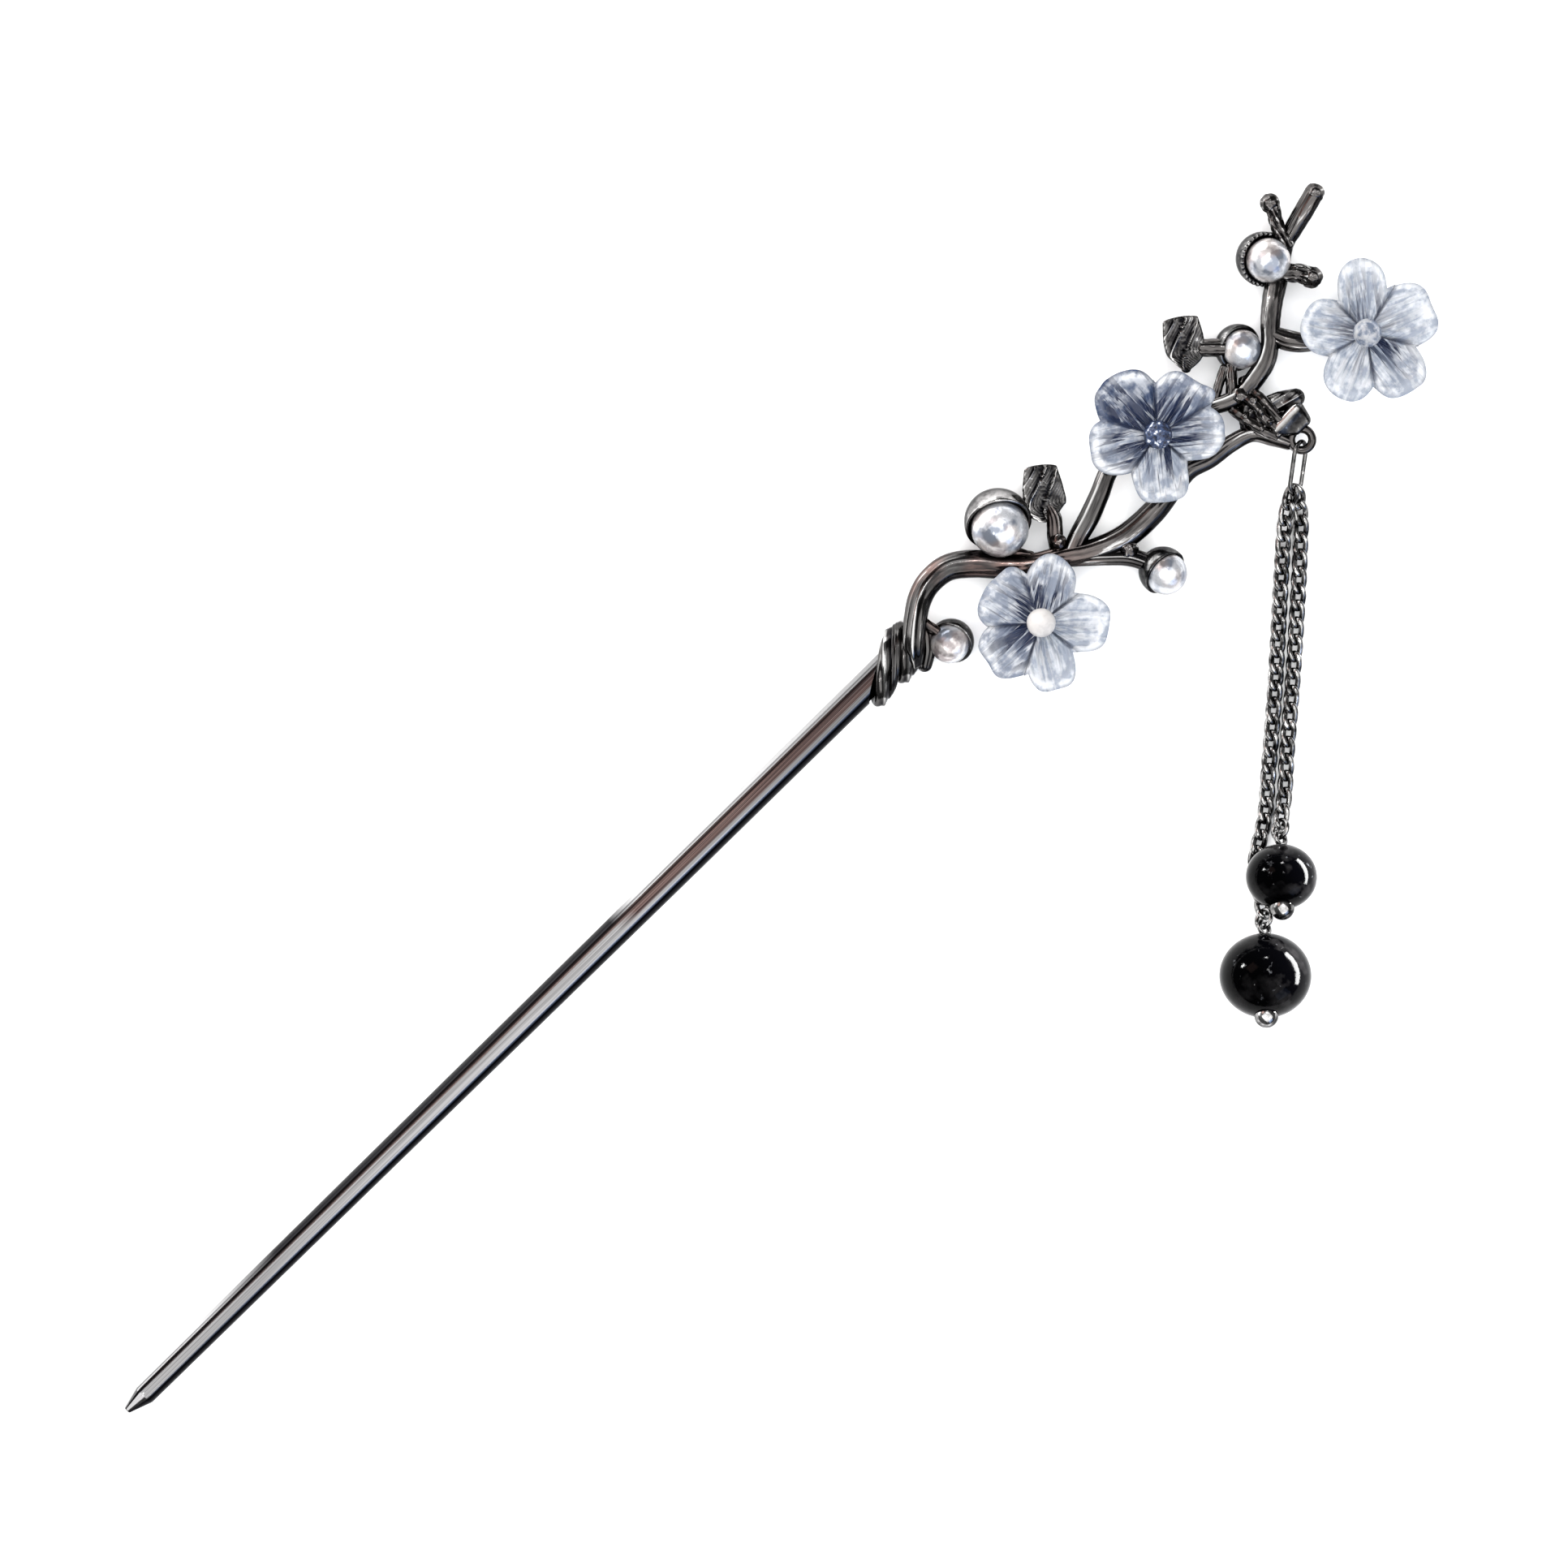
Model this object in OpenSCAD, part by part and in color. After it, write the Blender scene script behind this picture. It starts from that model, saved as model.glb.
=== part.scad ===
// Hair stick with a plum-blossom branch of cast metal and glass, five pearls and a two-strand tassel.
// It lies on its back: the surface is z = 0, the stick runs along X with its point at -X.

/* [Stick] */
// Distance from the point to the middle of the wrap
wrap_at = 120; // [90:1:150]
// How far the stick reaches past the middle of the wrap
root_l = 2.6; // [2:0.1:3.4]
// Diameter of the straight stretch below the wrap
shaft_d = 3.3; // [2.6:0.1:4.4]
// Length of the straight stretch
straight_l = 26; // [10:1:50]
// How much the stick's radius steps down inside the wrap
root_step = 0.2; // [0.2:0.05:0.4]
// Diameter behind the conical point
tip_d = 2.7; // [2:0.1:3.2]
// Length of the conical point
point_l = 2.7; // [1.5:0.1:8]
// Diameter of the blunt end
blunt_d = 0.8; // [0.4:0.1:1.6]

/* [Wrap] */
// Advance of the wrap along the stick for each turn
wrap_pitch = 3.7; // [3:0.1:5]
// Thickness of the wrapped strap
wrap_t = 1.3; // [0.9:0.1:1.8]
// Lean of the turns, as travel along the stick for each millimetre across it
wrap_lean = 0.95; // [0.4:0.05:1.2]

/* [Branch] */
// Width of the branch, from the wrap to the line of the far blossom's right edge
spray_w = 60; // [52:1:72]
// Height of the branch, from the wrap to the top twig
spray_h = 52; // [46:1:62]
// Angle between the stick and the arch that leaves the wrap
spray_turn = 44.4; // [35:0.1:55]
// Diameter of the thick stems
stem_d = 2.6; // [2:0.1:3.4]
// Thickness of the leaves
leaf_t = 0.9; // [0.7:0.1:1.4]
// Diameter of the hole in the eye for the tassel
eye_hole = 1.4; // [1.1:0.05:1.8]
// Wire diameter of the eye
eye_t = 0.95; // [0.7:0.05:1.1]

/* [Blossoms] */
// Diameter of a blossom
flower_d = 15.4; // [12:0.2:18]
// Width of a petal
petal_w = 6.4; // [5:0.1:8]
// Thickness of the glass at the middle
petal_t = 1.1; // [0.8:0.1:1.6]
// How far the petal tips rise above the middle
petal_rise = 1.3; // [0.6:0.1:2.4]
// Diameter of the bead in the middle
centre_d = 3.2; // [2.2:0.1:4]
// Diameter of the pin under that bead
centre_pin_d = 0.8; // [0.6:0.1:1]

/* [Pearls] */
// Diameter of the pearl on the arch
pearl_arch_d = 6.4; // [4:0.1:7]
// Diameter of the pearl beside the wrap
pearl_root_d = 4.4; // [4:0.1:5]
// Diameter of the pearl at the end of the low twig
pearl_twig_d = 4.8; // [4:0.1:5.6]
// Diameter of the pearl above the knot
pearl_knot_d = 4.4; // [3.6:0.1:5.2]
// Diameter of the pearl under the top twigs
pearl_top_d = 5; // [4:0.1:6]
// Wall of the cups' rims
cup_wall = 0.4; // [0.3:0.05:0.6]

/* [Tassel] */
// Outer length of the oval ring
ring_l = 6.4; // [5.6:0.1:8]
// Outer width of the oval ring
ring_w = 3.3; // [3:0.1:4]
// Wire diameter of the oval ring
ring_wire = 0.5; // [0.4:0.05:0.55]
// Width of a chain link
link_w = 1.7; // [1.6:0.05:1.8]
// Wire diameter of the chain
link_wire = 0.45; // [0.35:0.05:0.5]
// Distance from one link to the next
link_pitch = 1.86; // [1.7:0.02:2.2]
// Distance down from the eye to the middle of the large bead
long_drop = 59.2; // [53:0.1:70]
// Distance between the two beads' ends, down the tassel
bead_apart = 2.75; // [2.6:0.05:5]
// How far the small bead lies to the side of the eye
short_aside = 2.3; // [1.8:0.1:2.6]
// How far the large bead lies to the side of the eye
long_aside = 4.1; // [3.8:0.1:5]
// Outer diameter of the small ring at the end of each strand
small_ring_d = 2.6; // [2.5:0.1:3]
// Wire diameter of the small rings
small_ring_wire = 0.5; // [0.4:0.05:0.55]

/* [Beads] */
// Diameter of the small bead
bead_small_d = 7.9; // [6.5:0.1:8.4]
// Length of the small bead along its hole
bead_small_l = 7.1; // [6:0.1:7.8]
// Diameter of the large bead
bead_large_d = 10.2; // [9:0.1:12]
// Length of the large bead along its hole
bead_large_l = 9.2; // [8:0.1:10]
// Diameter of the hole through a bead
bead_bore = 1.1; // [0.9:0.1:1.6]
// Wire diameter of the pins through the beads
pin_wire = 0.55; // [0.45:0.05:0.7]
// Outer diameter of the loop at the top of a pin
pin_loop_d = 2.1; // [1.9:0.1:2.6]
// Diameter of the head at the bottom of a pin
pin_head_d = 2.7; // [2:0.1:3.4]
// Height of that head
pin_head_h = 1.5; // [1.2:0.1:1.8]

/* [Clearances] */
// Gap between the stick's root and the wrap, and round each blossom's pin
fit_gap = 0.08; // [0.05:0.01:0.15]
// Gap between glass or pearl and the metal that carries it
seat_gap = 0.08; // [0.05:0.01:0.15]
// Gap between chain links, rings and loops
link_gap = 0.17; // [0.14:0.01:0.19]

/* [Hidden] */

GUNMETAL = [0.27, 0.25, 0.24];
GLASS = [0.78, 0.85, 0.93];
MILK = [0.92, 0.90, 0.87];
PEARL = [0.80, 0.81, 0.83];
BLACK = [0.04, 0.04, 0.05];

// Sides of the swept stems, of the lumps on them, of cups and eye, of the bore and of the exact parts
STEM_SIDES = 8;
LUMP_SIDES = 8;
CUP_SIDES = 16;
BORE_SIDES = 24;
FINE = 48;

// Stems: each row is [across, up, height, thickness]. Across is a percentage of the branch's width and
// up of its height, from the middle of the wrap; height and thickness are shares of the stem's diameter.
ARCH = [
    [2.3, 2.6, 0.85, 1], [2.7, 7.3, 0.8, 1], [3.5, 11.4, 0.55, 1.05], [5.3, 15, 0.35, 1.1],
    [8.7, 18, 0.2, 1.15], [13.5, 18.8, 0.1, 1.2], [19.5, 18.3, 0.05, 1.1], [24.8, 18.7, 0, 1],
    [30, 20.3, 0, 1], [35.3, 21.6, 0, 1], [41.3, 24.6, 0, 1.08], [46.5, 29.8, 0, 1.05],
    [50.3, 35.3, 0, 0.95], [53.1, 38.8, 0, 0.85], [57, 41, 0, 0.75], [60.8, 44.3, 0, 0.75],
    [64.7, 46.4, 0, 0.7], [68.6, 45.6, 0, 0.75], [71.3, 44.5, -0.1, 0.6]
];
THIN_STEM = [
    [31.2, 20.9, 0, 0.75], [32.7, 24.6, 0, 0.85], [34.7, 28.7, 0, 0.9], [36.6, 33.6, 0, 0.85],
    [38.4, 38.6, 0, 0.8], [42, 42.9, 0, 0.75], [48, 46.2, 0, 0.75], [52.8, 49.5, 0, 0.7],
    [57, 51.9, 0, 0.7], [60, 53.1, 0, 0.75], [62.6, 54.5, 0, 0.8]
];
TOP_STEM = [
    [62.6, 54.5, 0, 0.8], [65, 57.8, 0, 0.85], [67.1, 61.6, 0, 0.85], [68, 65.6, 0, 0.8],
    [68, 69.9, 0, 0.85], [68.4, 74.3, -0.05, 0.9], [69.2, 79, -0.3, 0.95], [69.9, 82.4, -0.45, 0.85],
    [70.8, 86.9, -0.3, 0.75], [72.3, 90, -0.1, 0.8], [74, 93.4, 0, 0.85], [76.1, 97.5, 0, 0.85]
];
BLOSSOM_TWIG = [
    [68, 67.9, 0, 0.7], [70.5, 66.5, 0, 0.9], [73.5, 65.8, 0, 0.85], [76.2, 65.6, 0, 0.6],
    [81, 66.5, 0, 0.42], [85.5, 67.5, 0, 0.42]
];
LOW_TWIG = [[29, 19.9, 0, 0.75], [37.5, 20.3, 0, 0.75], [42.3, 20.2, 0, 0.8], [46.6, 18.5, 0, 0.75]];
LEAF_STALK = [[29.4, 20.8, 0, 0.75], [28.5, 24.1, 0, 0.7], [28.2, 28.5, 0.05, 0.65], [27, 31.5, 0.05, 0.4]];
SIDE_STALK = [[60, 64.7, 0, 0.8], [55.2, 64.7, 0, 0.75]];
KNOT_STRAND = [[60.9, 53.2, 0, 0.55], [60.9, 57, 0, 0.5], [60.9, 61, -0.1, 0.5]];
SIDE_STRAND = [[57.3, 52.6, 0, 0.42], [58.4, 56.1, 0, 0.4], [59.6, 60.5, -0.1, 0.42]];
HIDDEN_ARM = [[22.8, 18, 0, 0.45], [24, 11.9, 0, 0.45], [25.7, 6.2, 0, 0.45]];
ROOT_BRIDGE = [[4.2, 6.4, 0.5, 0.45], [6.6, 4.4, 0.35, 0.45]];
CURL_TWIG = [[71, 86.2, 0, 0.6], [69.6, 90, 0.05, 0.6], [68.7, 93.1, 0.05, 0.6], [68, 95.2, 0.05, 0.7]];
CUT_TWIG = [[69.5, 80.7, 0, 0.75], [73, 80.5, 0, 0.8], [75.4, 79.7, 0, 0.85]];
STRAP_END = [[2.7, 6.2, 0.15, 0.65], [4.3, 4.5, 0, 0.8], [4.8, 0.7, -0.1, 0.75], [4.4, -2.6, -0.15, 0.65]];
CRADLE = [[14, 20, 0.05, 0.55], [17, 21, -0.1, 0.65], [20.5, 21, -0.1, 0.6], [24, 20.2, 0, 0.5]];

// Round ends, cut twigs and bark bumps, with the same columns
KNOBS = [
    [76.1, 97.5, 0.03, 0.9], [67.9, 95.4, 0.05, 0.9], [75.6, 79.7, 0, 0.98], [41.9, 21.8, 0.1, 0.95],
    [28.9, 23.4, 0.15, 0.8], [62.6, 54.5, 0.05, 0.95], [63.3, 57.4, -0.1, 0.6]
];
TWIG_KNOB = KNOBS[0];
CURL_KNOB = KNOBS[1];

// Bark knot, leaves and their raised ribs: each body is a hull of round lumps with the same columns
KNOT = [
    [63.2, 53.2, 0, 0.7], [66, 52.2, 0.1, 0.85], [67.6, 49.4, 0.1, 0.9], [67.2, 46.6, 0, 0.75],
    [64, 46.6, 0, 0.7]
];
LEAF_LOW = [[23.4, 38.3, 0.25], [28, 39.4, 0.4], [29.6, 31.1, 0.15], [27.8, 28.8, 0], [23.2, 30.4, 0]];
LEAF_LOW_RIBS = [
    [[23.2, 38, 0.35], [27.4, 30, 0.15]],
    [[25.1, 38.9, 0.42], [28.6, 31.3, 0.25]],
    [[27.2, 39.2, 0.5], [29.3, 33.5, 0.32]]
];
LEAF_SIDE = [[48.8, 69.9, 0.25], [54, 70.6, 0.35], [55.1, 63.2, 0.1], [52.3, 60.4, 0], [49.5, 62.8, 0]];
LEAF_SIDE_RIBS = [
    [[49.6, 69.8, 0.35], [52.2, 62, 0.15]],
    [[51.6, 70.2, 0.42], [54.1, 63.6, 0.25]],
    [[53.6, 70.2, 0.45], [55, 66.2, 0.3]]
];
BUD_UPPER = [[67, 52.2, 0.1, 0.8], [69.7, 53.6, 0.15, 0.75], [72.7, 54.1, 0.15, 0.8]];
BUD_LOWER = [
    [69.4, 47.2, 0.15, 0.7], [72.8, 51.4, 0.2, 0.75], [74.1, 49.4, 0.1, 0.65], [72.6, 47.4, 0.1, 0.55]
];
BUD_WEB = [[67.5, 50, -0.1, 0.5], [72, 52.7, -0.1, 0.4], [70, 48.5, -0.1, 0.5]];

// Place of the eye, and of the middle of each blossom
EYE = [73.8, 45.2];
LOW_AT = [25.7, 6.2];
MID_AT = [47.1, 46];
TOP_AT = [85.5, 67.5];

// Petals: each row is [direction, length, width, rise], the last three as shares of the blossom's own
LOW_PETALS = [
    [77, 1.01, 0.86, 1.1], [0, 1, 1.02, 0.8], [-77, 1.01, 0.86, 0.9], [-139, 0.97, 1.08, 1.2],
    [146, 0.95, 1.12, 1]
];
MID_PETALS = [
    [4, 0.97, 0.94, 0.7], [57, 0.99, 1.04, 1.1], [127, 1.07, 1.18, 1.2], [195, 1.02, 1, 0.9],
    [274, 0.98, 0.98, 1]
];
TOP_PETALS = [
    [96, 1.08, 0.86, 1.1], [24, 1.05, 1.14, 0.8], [-50, 1.06, 1.02, 0.9], [-112, 1.02, 0.92, 1],
    [171, 0.94, 1, 1.1]
];

// Pearls: each row is [across, up, lean of the cup, direction of that lean, seat, size]. The seat is how
// far the pearl stands out of the cup's middle and the size is the cup's, both as shares of the pearl's.
ARCH_CUP = [18.2, 26.2, 45, -75, 0.37, 1.17];
ROOT_CUP = [9, 1.8, 35, -121, 0.25, 1.16];
TWIG_CUP = [48.8, 16.8, 55, -42, 0.2, 1.14];
KNOT_CUP = [62.8, 64.4, 35, -30, 0.35, 1.2];
TOP_CUP = [67.6, 83.2, 32, -22, 0.45, 1.21];

// Routes of the two strands: each row is [across, down, height]. Across is a percentage of the bead's
// distance to the side, down of the way from the oval ring's end to the small bead, and height counts
// lying links.
SHORT_ROUTE = [[-4, 5.7, 1.5], [-2, 11.8, 1.15], [9, 25.8, 1], [37, 49.8, 1], [65, 68.6, 1], [72, 77.2, 1.1]];
LONG_ROUTE = [
    [41, 5.3, 3.7], [46, 11.8, 2.1], [51, 21.2, 1.05], [67, 49.6, 1], [84, 70.9, 1], [95, 84.6, 1],
    [117, 93.3, 1], [122, 98.6, 1], [110, 104.1, 1.35]
];

// Vectors
UP = [0, 0, 1];
function unit(v) = v / norm(v);
function mix(a, b, t) = a + (b - a) * t;
function xyz(row) = [row[0], row[1], row[2]];

// A smooth curve through the rows of a table, in steps for each stretch
function between(a, b, c, d, t) =
    0.5 * (2 * b + (c - a) * t + (2 * a - 5 * b + 4 * c - d) * t * t + (3 * b - a - 3 * c + d) * t * t * t);
function smooth(rows, steps) =
    let (last = len(rows) - 1)
    concat(
        [for (i = [0 : last - 1], j = [0 : steps - 1])
            between(rows[max(i - 1, 0)], rows[i], rows[i + 1], rows[min(i + 2, last)], j / steps)],
        [rows[last]]
    );
function heading(path, i) = unit(xyz(path[min(i + 1, len(path) - 1)]) - xyz(path[max(i - 1, 0)]));

// Faces of a skin over rings of points; a closed one joins its last ring to its first
function skin_faces(rings, sides, closed = false) =
    concat(
        [for (i = [0 : rings - (closed ? 1 : 2)], j = [0 : sides - 1])
            let (a = i * sides + j, b = i * sides + (j + 1) % sides, next = ((i + 1) % rings) * sides)
            each [[a, b, next + j], [b, next + (j + 1) % sides, next + j]]],
        closed ? []
        : [[for (j = [sides - 1 : -1 : 0]) j], [for (j = [0 : sides - 1]) (rings - 1) * sides + j]]
    );

// A ring of points round a place, half_w along one direction and half_t along another
function ring_points(at, along_w, along_t, half_w, half_t, sides) =
    [for (j = [0 : sides - 1])
        let (a = 360 * (j + 0.5) / sides)
        at + along_w * half_w * cos(a) + along_t * half_t * sin(a)];

// The stick on the surface: it touches at the point's shoulder and at the bottom of the wrap
shaft_l = wrap_at + root_l;
shaft_r = shaft_d / 2;
root_r = shaft_r - root_step;
tip_r = tip_d / 2;
wrap_r = root_r + fit_gap + wrap_t / 2;
wrap_low = wrap_r + wrap_t / 2;
lie = atan((wrap_low - tip_r) / (wrap_at - point_l));
lift = tip_r * cos(lie) - point_l * sin(lie);

// The wrap starts this many of its pitches before its middle, and the stick steps down just ahead of it
WRAP_START = 0.8;
step_at = wrap_at - WRAP_START * wrap_pitch - wrap_lean * wrap_r - stem_d / 2 - fit_gap;

// Frames: one along the stick, one turned with the branch, and how places in them lie on the surface
function place(row) = [row[0] * spray_w / 100, row[1] * spray_h / 100, row[2] * stem_d];
function to_stick(p) =
    let (c = cos(spray_turn), s = sin(spray_turn))
    [wrap_at + p.x * c + p.y * s, p.y * c - p.x * s, p.z];
function to_surface(p) = [p.x * cos(lie) - p.z * sin(lie), p.y, p.x * sin(lie) + p.z * cos(lie) + lift];
function surface_below(p) = -(lift + to_stick(p).x * sin(lie)) / cos(lie);
eye_at = place([EYE.x, EYE.y, 0]);
eye_on_surface = to_surface(to_stick(eye_at));

// Middle of the footprint: it reaches from the stick's point to the top twig's knob, and from the large
// bead to the knob of the curled twig
foot_x = (to_stick(place(TWIG_KNOB)).x + TWIG_KNOB[3] * stem_d / 2) / 2;
foot_low = eye_on_surface.y - long_drop * cos(spray_turn) + long_aside * sin(spray_turn) - bead_large_d / 2;
foot_high = to_stick(place(CURL_KNOB)).y + CURL_KNOB[3] * stem_d / 2;

module centred() { translate([-foot_x, -(foot_low + foot_high) / 2, 0]) children(); }
module on_stick() { centred() translate([0, 0, lift]) rotate([0, -lie, 0]) children(); }
module on_branch() { on_stick() translate([wrap_at, 0, 0]) rotate([0, 0, -spray_turn]) children(); }
module on_surface() {
    centred() translate([eye_on_surface.x, eye_on_surface.y, 0]) rotate([0, 0, -spray_turn]) children();
}

// Turns the children so that X, Y and Z become the three directions given, and moves them to a place
module framed(at, x_to, y_to, z_to) {
    multmatrix([
        [x_to.x, y_to.x, z_to.x, at.x],
        [x_to.y, y_to.y, z_to.y, at.y],
        [x_to.z, y_to.z, z_to.z, at.z]
    ]) children();
}

// The stick: conical point, long taper, straight stretch, and a stepped root with a chamfer inside the wrap
module shaft() {
    chamfer = root_r / 2;
    color(GUNMETAL) on_stick() rotate([0, 90, 0]) {
        rotate_extrude($fn = FINE) polygon([
            [0, 0], [blunt_d / 2, 0], [tip_r, point_l], [shaft_r, step_at - straight_l],
            [shaft_r, step_at], [root_r, step_at], [root_r, shaft_l - chamfer],
            [root_r - chamfer / 2, shaft_l], [0, shaft_l]
        ]);
    }
}

// One stem swept through the rows of a table
module stem(rows, steps = 2) {
    path = smooth([for (row = rows) concat(place(row), [row[3] * stem_d / 2])], steps);
    rings = [for (i = [0 : len(path) - 1])
        let (side = unit(cross(heading(path, i), UP)), top = cross(side, heading(path, i)))
        each ring_points(xyz(path[i]), side, top, path[i][3], path[i][3], STEM_SIDES)];
    polyhedron(rings, skin_faces(len(path), STEM_SIDES));
}

// The flat strap that winds round the stick, from under it to the foot of the arch
module wrap() {
    first = -150;
    last = 410;
    step = 20;
    function strap_at(a) =
        [wrap_pitch * (a - 180) / 360 + wrap_lean * wrap_r * sin(a), wrap_r * sin(a), wrap_r * cos(a)];
    rings = [for (a = [first : step : last])
        let (
            out = [0, sin(a), cos(a)],
            ahead = unit(strap_at(a + 1) - strap_at(a - 1)),
            side = unit(cross(ahead, out)),
            narrow = a == first ? 0.6 : 1
        )
        each ring_points(
            strap_at(a), side, cross(side, ahead), narrow * stem_d / 2, narrow * wrap_t / 2, STEM_SIDES
        )];
    rotate([0, 0, spray_turn]) polyhedron(rings, skin_faces((last - first) / step + 1, STEM_SIDES));
}

// A faceted ball, turned so that its corners stay off the stems' edges
module lump(row, thick) {
    translate(place(row)) rotate([17, 0, 11]) sphere(d = thick, $fn = LUMP_SIDES);
}

module lumps_hull(rows) {
    hull() for (row = rows) lump(row, row[3] * stem_d);
}

// A leaf plate and its raised ribs
module leaf(corners, ribs) {
    hull() for (row = corners) lump(row, leaf_t);
    for (rib = ribs) hull() {
        lump(rib[0], leaf_t * 0.6);
        lump(rib[1], leaf_t * 0.6);
    }
}

// Where a pearl and its cup are: the cup's back lies on the surface, and the pearl leans out of it
CUP_RIM = 0.12;
function cup_r(cup, d) = cup[5] * d / 2;
function cup_lean(cup) = [sin(cup[2]) * cos(cup[3]), sin(cup[2]) * sin(cup[3]), cos(cup[2])];
function cup_at(cup, d) =
    let (p = place([cup.x, cup.y, 0]) - cup_lean(cup) * cup[4] * d / 2)
    [p.x, p.y, surface_below(p) + cup_r(cup, d) + seat_gap / 4];
function pearl_at(cup, d) = cup_at(cup, d) + cup_lean(cup) * cup[4] * d / 2;

// The room round the pearl is a faceted ball, made larger so that its flats keep the gap
function room_r(d) = (d / 2 + seat_gap) / pow(cos(180 / CUP_SIDES), 2);

// The dish widens the room to the rim's wall, from the rim down to the bottom of the pearl
module pearl_cup(cup, d) {
    rim = CUP_RIM * cup_r(cup, d);
    rim_r = sqrt(pow(cup_r(cup, d), 2) - rim * rim) - cup_wall;
    low = (cup[4] - 1) * d / 2 - seat_gap;
    dish_up = (rim_r * rim_r / (rim - low) + low + rim) / 2;
    translate(cup_at(cup, d)) rotate([0, cup[2], cup[3]]) difference() {
        sphere(r = cup_r(cup, d), $fn = CUP_SIDES);
        translate([-2 * d, -2 * d, rim]) cube(4 * d);
        translate([0, 0, dish_up]) sphere(r = dish_up - low, $fn = CUP_SIDES);
    }
}

module pearl_room(cup, d) {
    translate(pearl_at(cup, d)) rotate([0, cup[2], cup[3]]) sphere(r = room_r(d), $fn = CUP_SIDES);
}

module pearl(cup, d) {
    color(PEARL) on_branch() translate(pearl_at(cup, d)) sphere(d = d, $fn = FINE);
}

// Blossom seats: a hidden disc with a blind hole for the pin, its top just above the stems
seat_top = stem_d / 2 + seat_gap;
seat_wall = 1.1;
seat_d = centre_pin_d + 2 * seat_wall;
pin_deep = stem_d * 0.55;

module blossom_seat(at) {
    low = stem_d * 0.25;
    translate([at.x, at.y, -low]) cylinder(d = seat_d, h = seat_top + low, $fn = 16);
}

module pin_hole(at) {
    translate([at.x, at.y, seat_top - pin_deep])
        cylinder(d = centre_pin_d + 2 * fit_gap, h = 2 * pin_deep, $fn = 16);
}

module eye_ring() {
    translate(eye_at) rotate_extrude($fn = CUP_SIDES)
        translate([(eye_hole + eye_t) / 2, 0]) circle(d = eye_t, $fn = STEM_SIDES);
}

// The hole of the eye flares above and below, so that a ring can lean in it
module ring_room() {
    flare_up = 0.35 * eye_t;
    translate(eye_at) for (side = [0, 1]) mirror([0, 0, side]) {
        translate([0, 0, -eye_t / 2]) cylinder(d = eye_hole, h = stem_d, $fn = CUP_SIDES);
        translate([0, 0, flare_up])
            cylinder(d1 = eye_hole, d2 = eye_hole + 2.4 * stem_d, h = stem_d, $fn = CUP_SIDES);
    }
}

module branch() {
    cups = [
        [ARCH_CUP, pearl_arch_d], [ROOT_CUP, pearl_root_d], [TWIG_CUP, pearl_twig_d],
        [KNOT_CUP, pearl_knot_d], [TOP_CUP, pearl_top_d]
    ];
    stems = [
        ARCH, THIN_STEM, TOP_STEM, BLOSSOM_TWIG, LOW_TWIG, LEAF_STALK, SIDE_STALK,
        KNOT_STRAND, SIDE_STRAND, HIDDEN_ARM, ROOT_BRIDGE, CURL_TWIG, CUT_TWIG, STRAP_END, CRADLE
    ];
    seats = [for (at = [LOW_AT, MID_AT, TOP_AT]) place([at.x, at.y, 0])];
    color(GUNMETAL) on_branch() difference() {
        union() {
            wrap();
            for (rows = stems) stem(rows);
            for (row = KNOBS) lump(row, row[3] * stem_d);
            lumps_hull(KNOT);
            lumps_hull(BUD_UPPER);
            lumps_hull(BUD_LOWER);
            lumps_hull(BUD_WEB);
            leaf(LEAF_LOW, LEAF_LOW_RIBS);
            leaf(LEAF_SIDE, LEAF_SIDE_RIBS);
            for (cup = cups) pearl_cup(cup[0], cup[1]);
            for (at = seats) blossom_seat(at);
            eye_ring();
        }
        for (cup = cups) pearl_room(cup[0], cup[1]);
        for (at = seats) pin_hole(at);
        ring_room();
        rotate([0, 0, spray_turn]) translate([-wrap_at, 0, 0]) rotate([0, 90, 0])
            cylinder(r = (root_r + fit_gap) / cos(180 / BORE_SIDES), h = shaft_l + fit_gap, $fn = BORE_SIDES);
    }
}

// A petal is a rounded oblong, straight-sided toward the blossom's middle; this tells what is inside it
PETAL_SQUARE = 2.7;
PETAL_WIDEST = 0.53;
function in_petal(petal, along, aside) =
    let (
        far = petal[1] * flower_d / 2,
        past = max(along - PETAL_WIDEST * far, 0) / (far * (1 - PETAL_WIDEST)),
        off = abs(aside) / (petal[2] * petal_w / 2)
    )
    pow(past, PETAL_SQUARE) + pow(off, PETAL_SQUARE) < 1;

// Distance from the middle to the far edge of a petal in a direction, found by halving
function petal_edge(petal, a, near, far, turns) =
    let (middle = (near + far) / 2, off = a - petal[0])
    turns == 0 ? near
    : in_petal(petal, middle * cos(off), middle * sin(off)) ? petal_edge(petal, a, middle, far, turns - 1)
    : petal_edge(petal, a, near, middle, turns - 1);

// A blossom: a skin of rings, each ring a loop from the hole out under the glass, round its edge and back.
// The hub fills the notches between the petals, the sides of a petal curl up and the glass thins to its edge
BLOSSOM_COLUMNS = 50;
BLOSSOM_UNDER = [0, 0.4, 0.75, 1];
BLOSSOM_OVER = [1, 0.85, 0.6, 0.3, 0];
BLOSSOM_HUB = 0.3;
BLOSSOM_CUP = 0.3;
BLOSSOM_THIN = 0.5;

function blossom_height(petal, a, r) =
    petal[3] * petal_rise * pow(2 * r / flower_d, 2)
    + BLOSSOM_CUP * min(1, pow(r * sin(a - petal[0]) / (petal[2] * petal_w / 2), 2));

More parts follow.
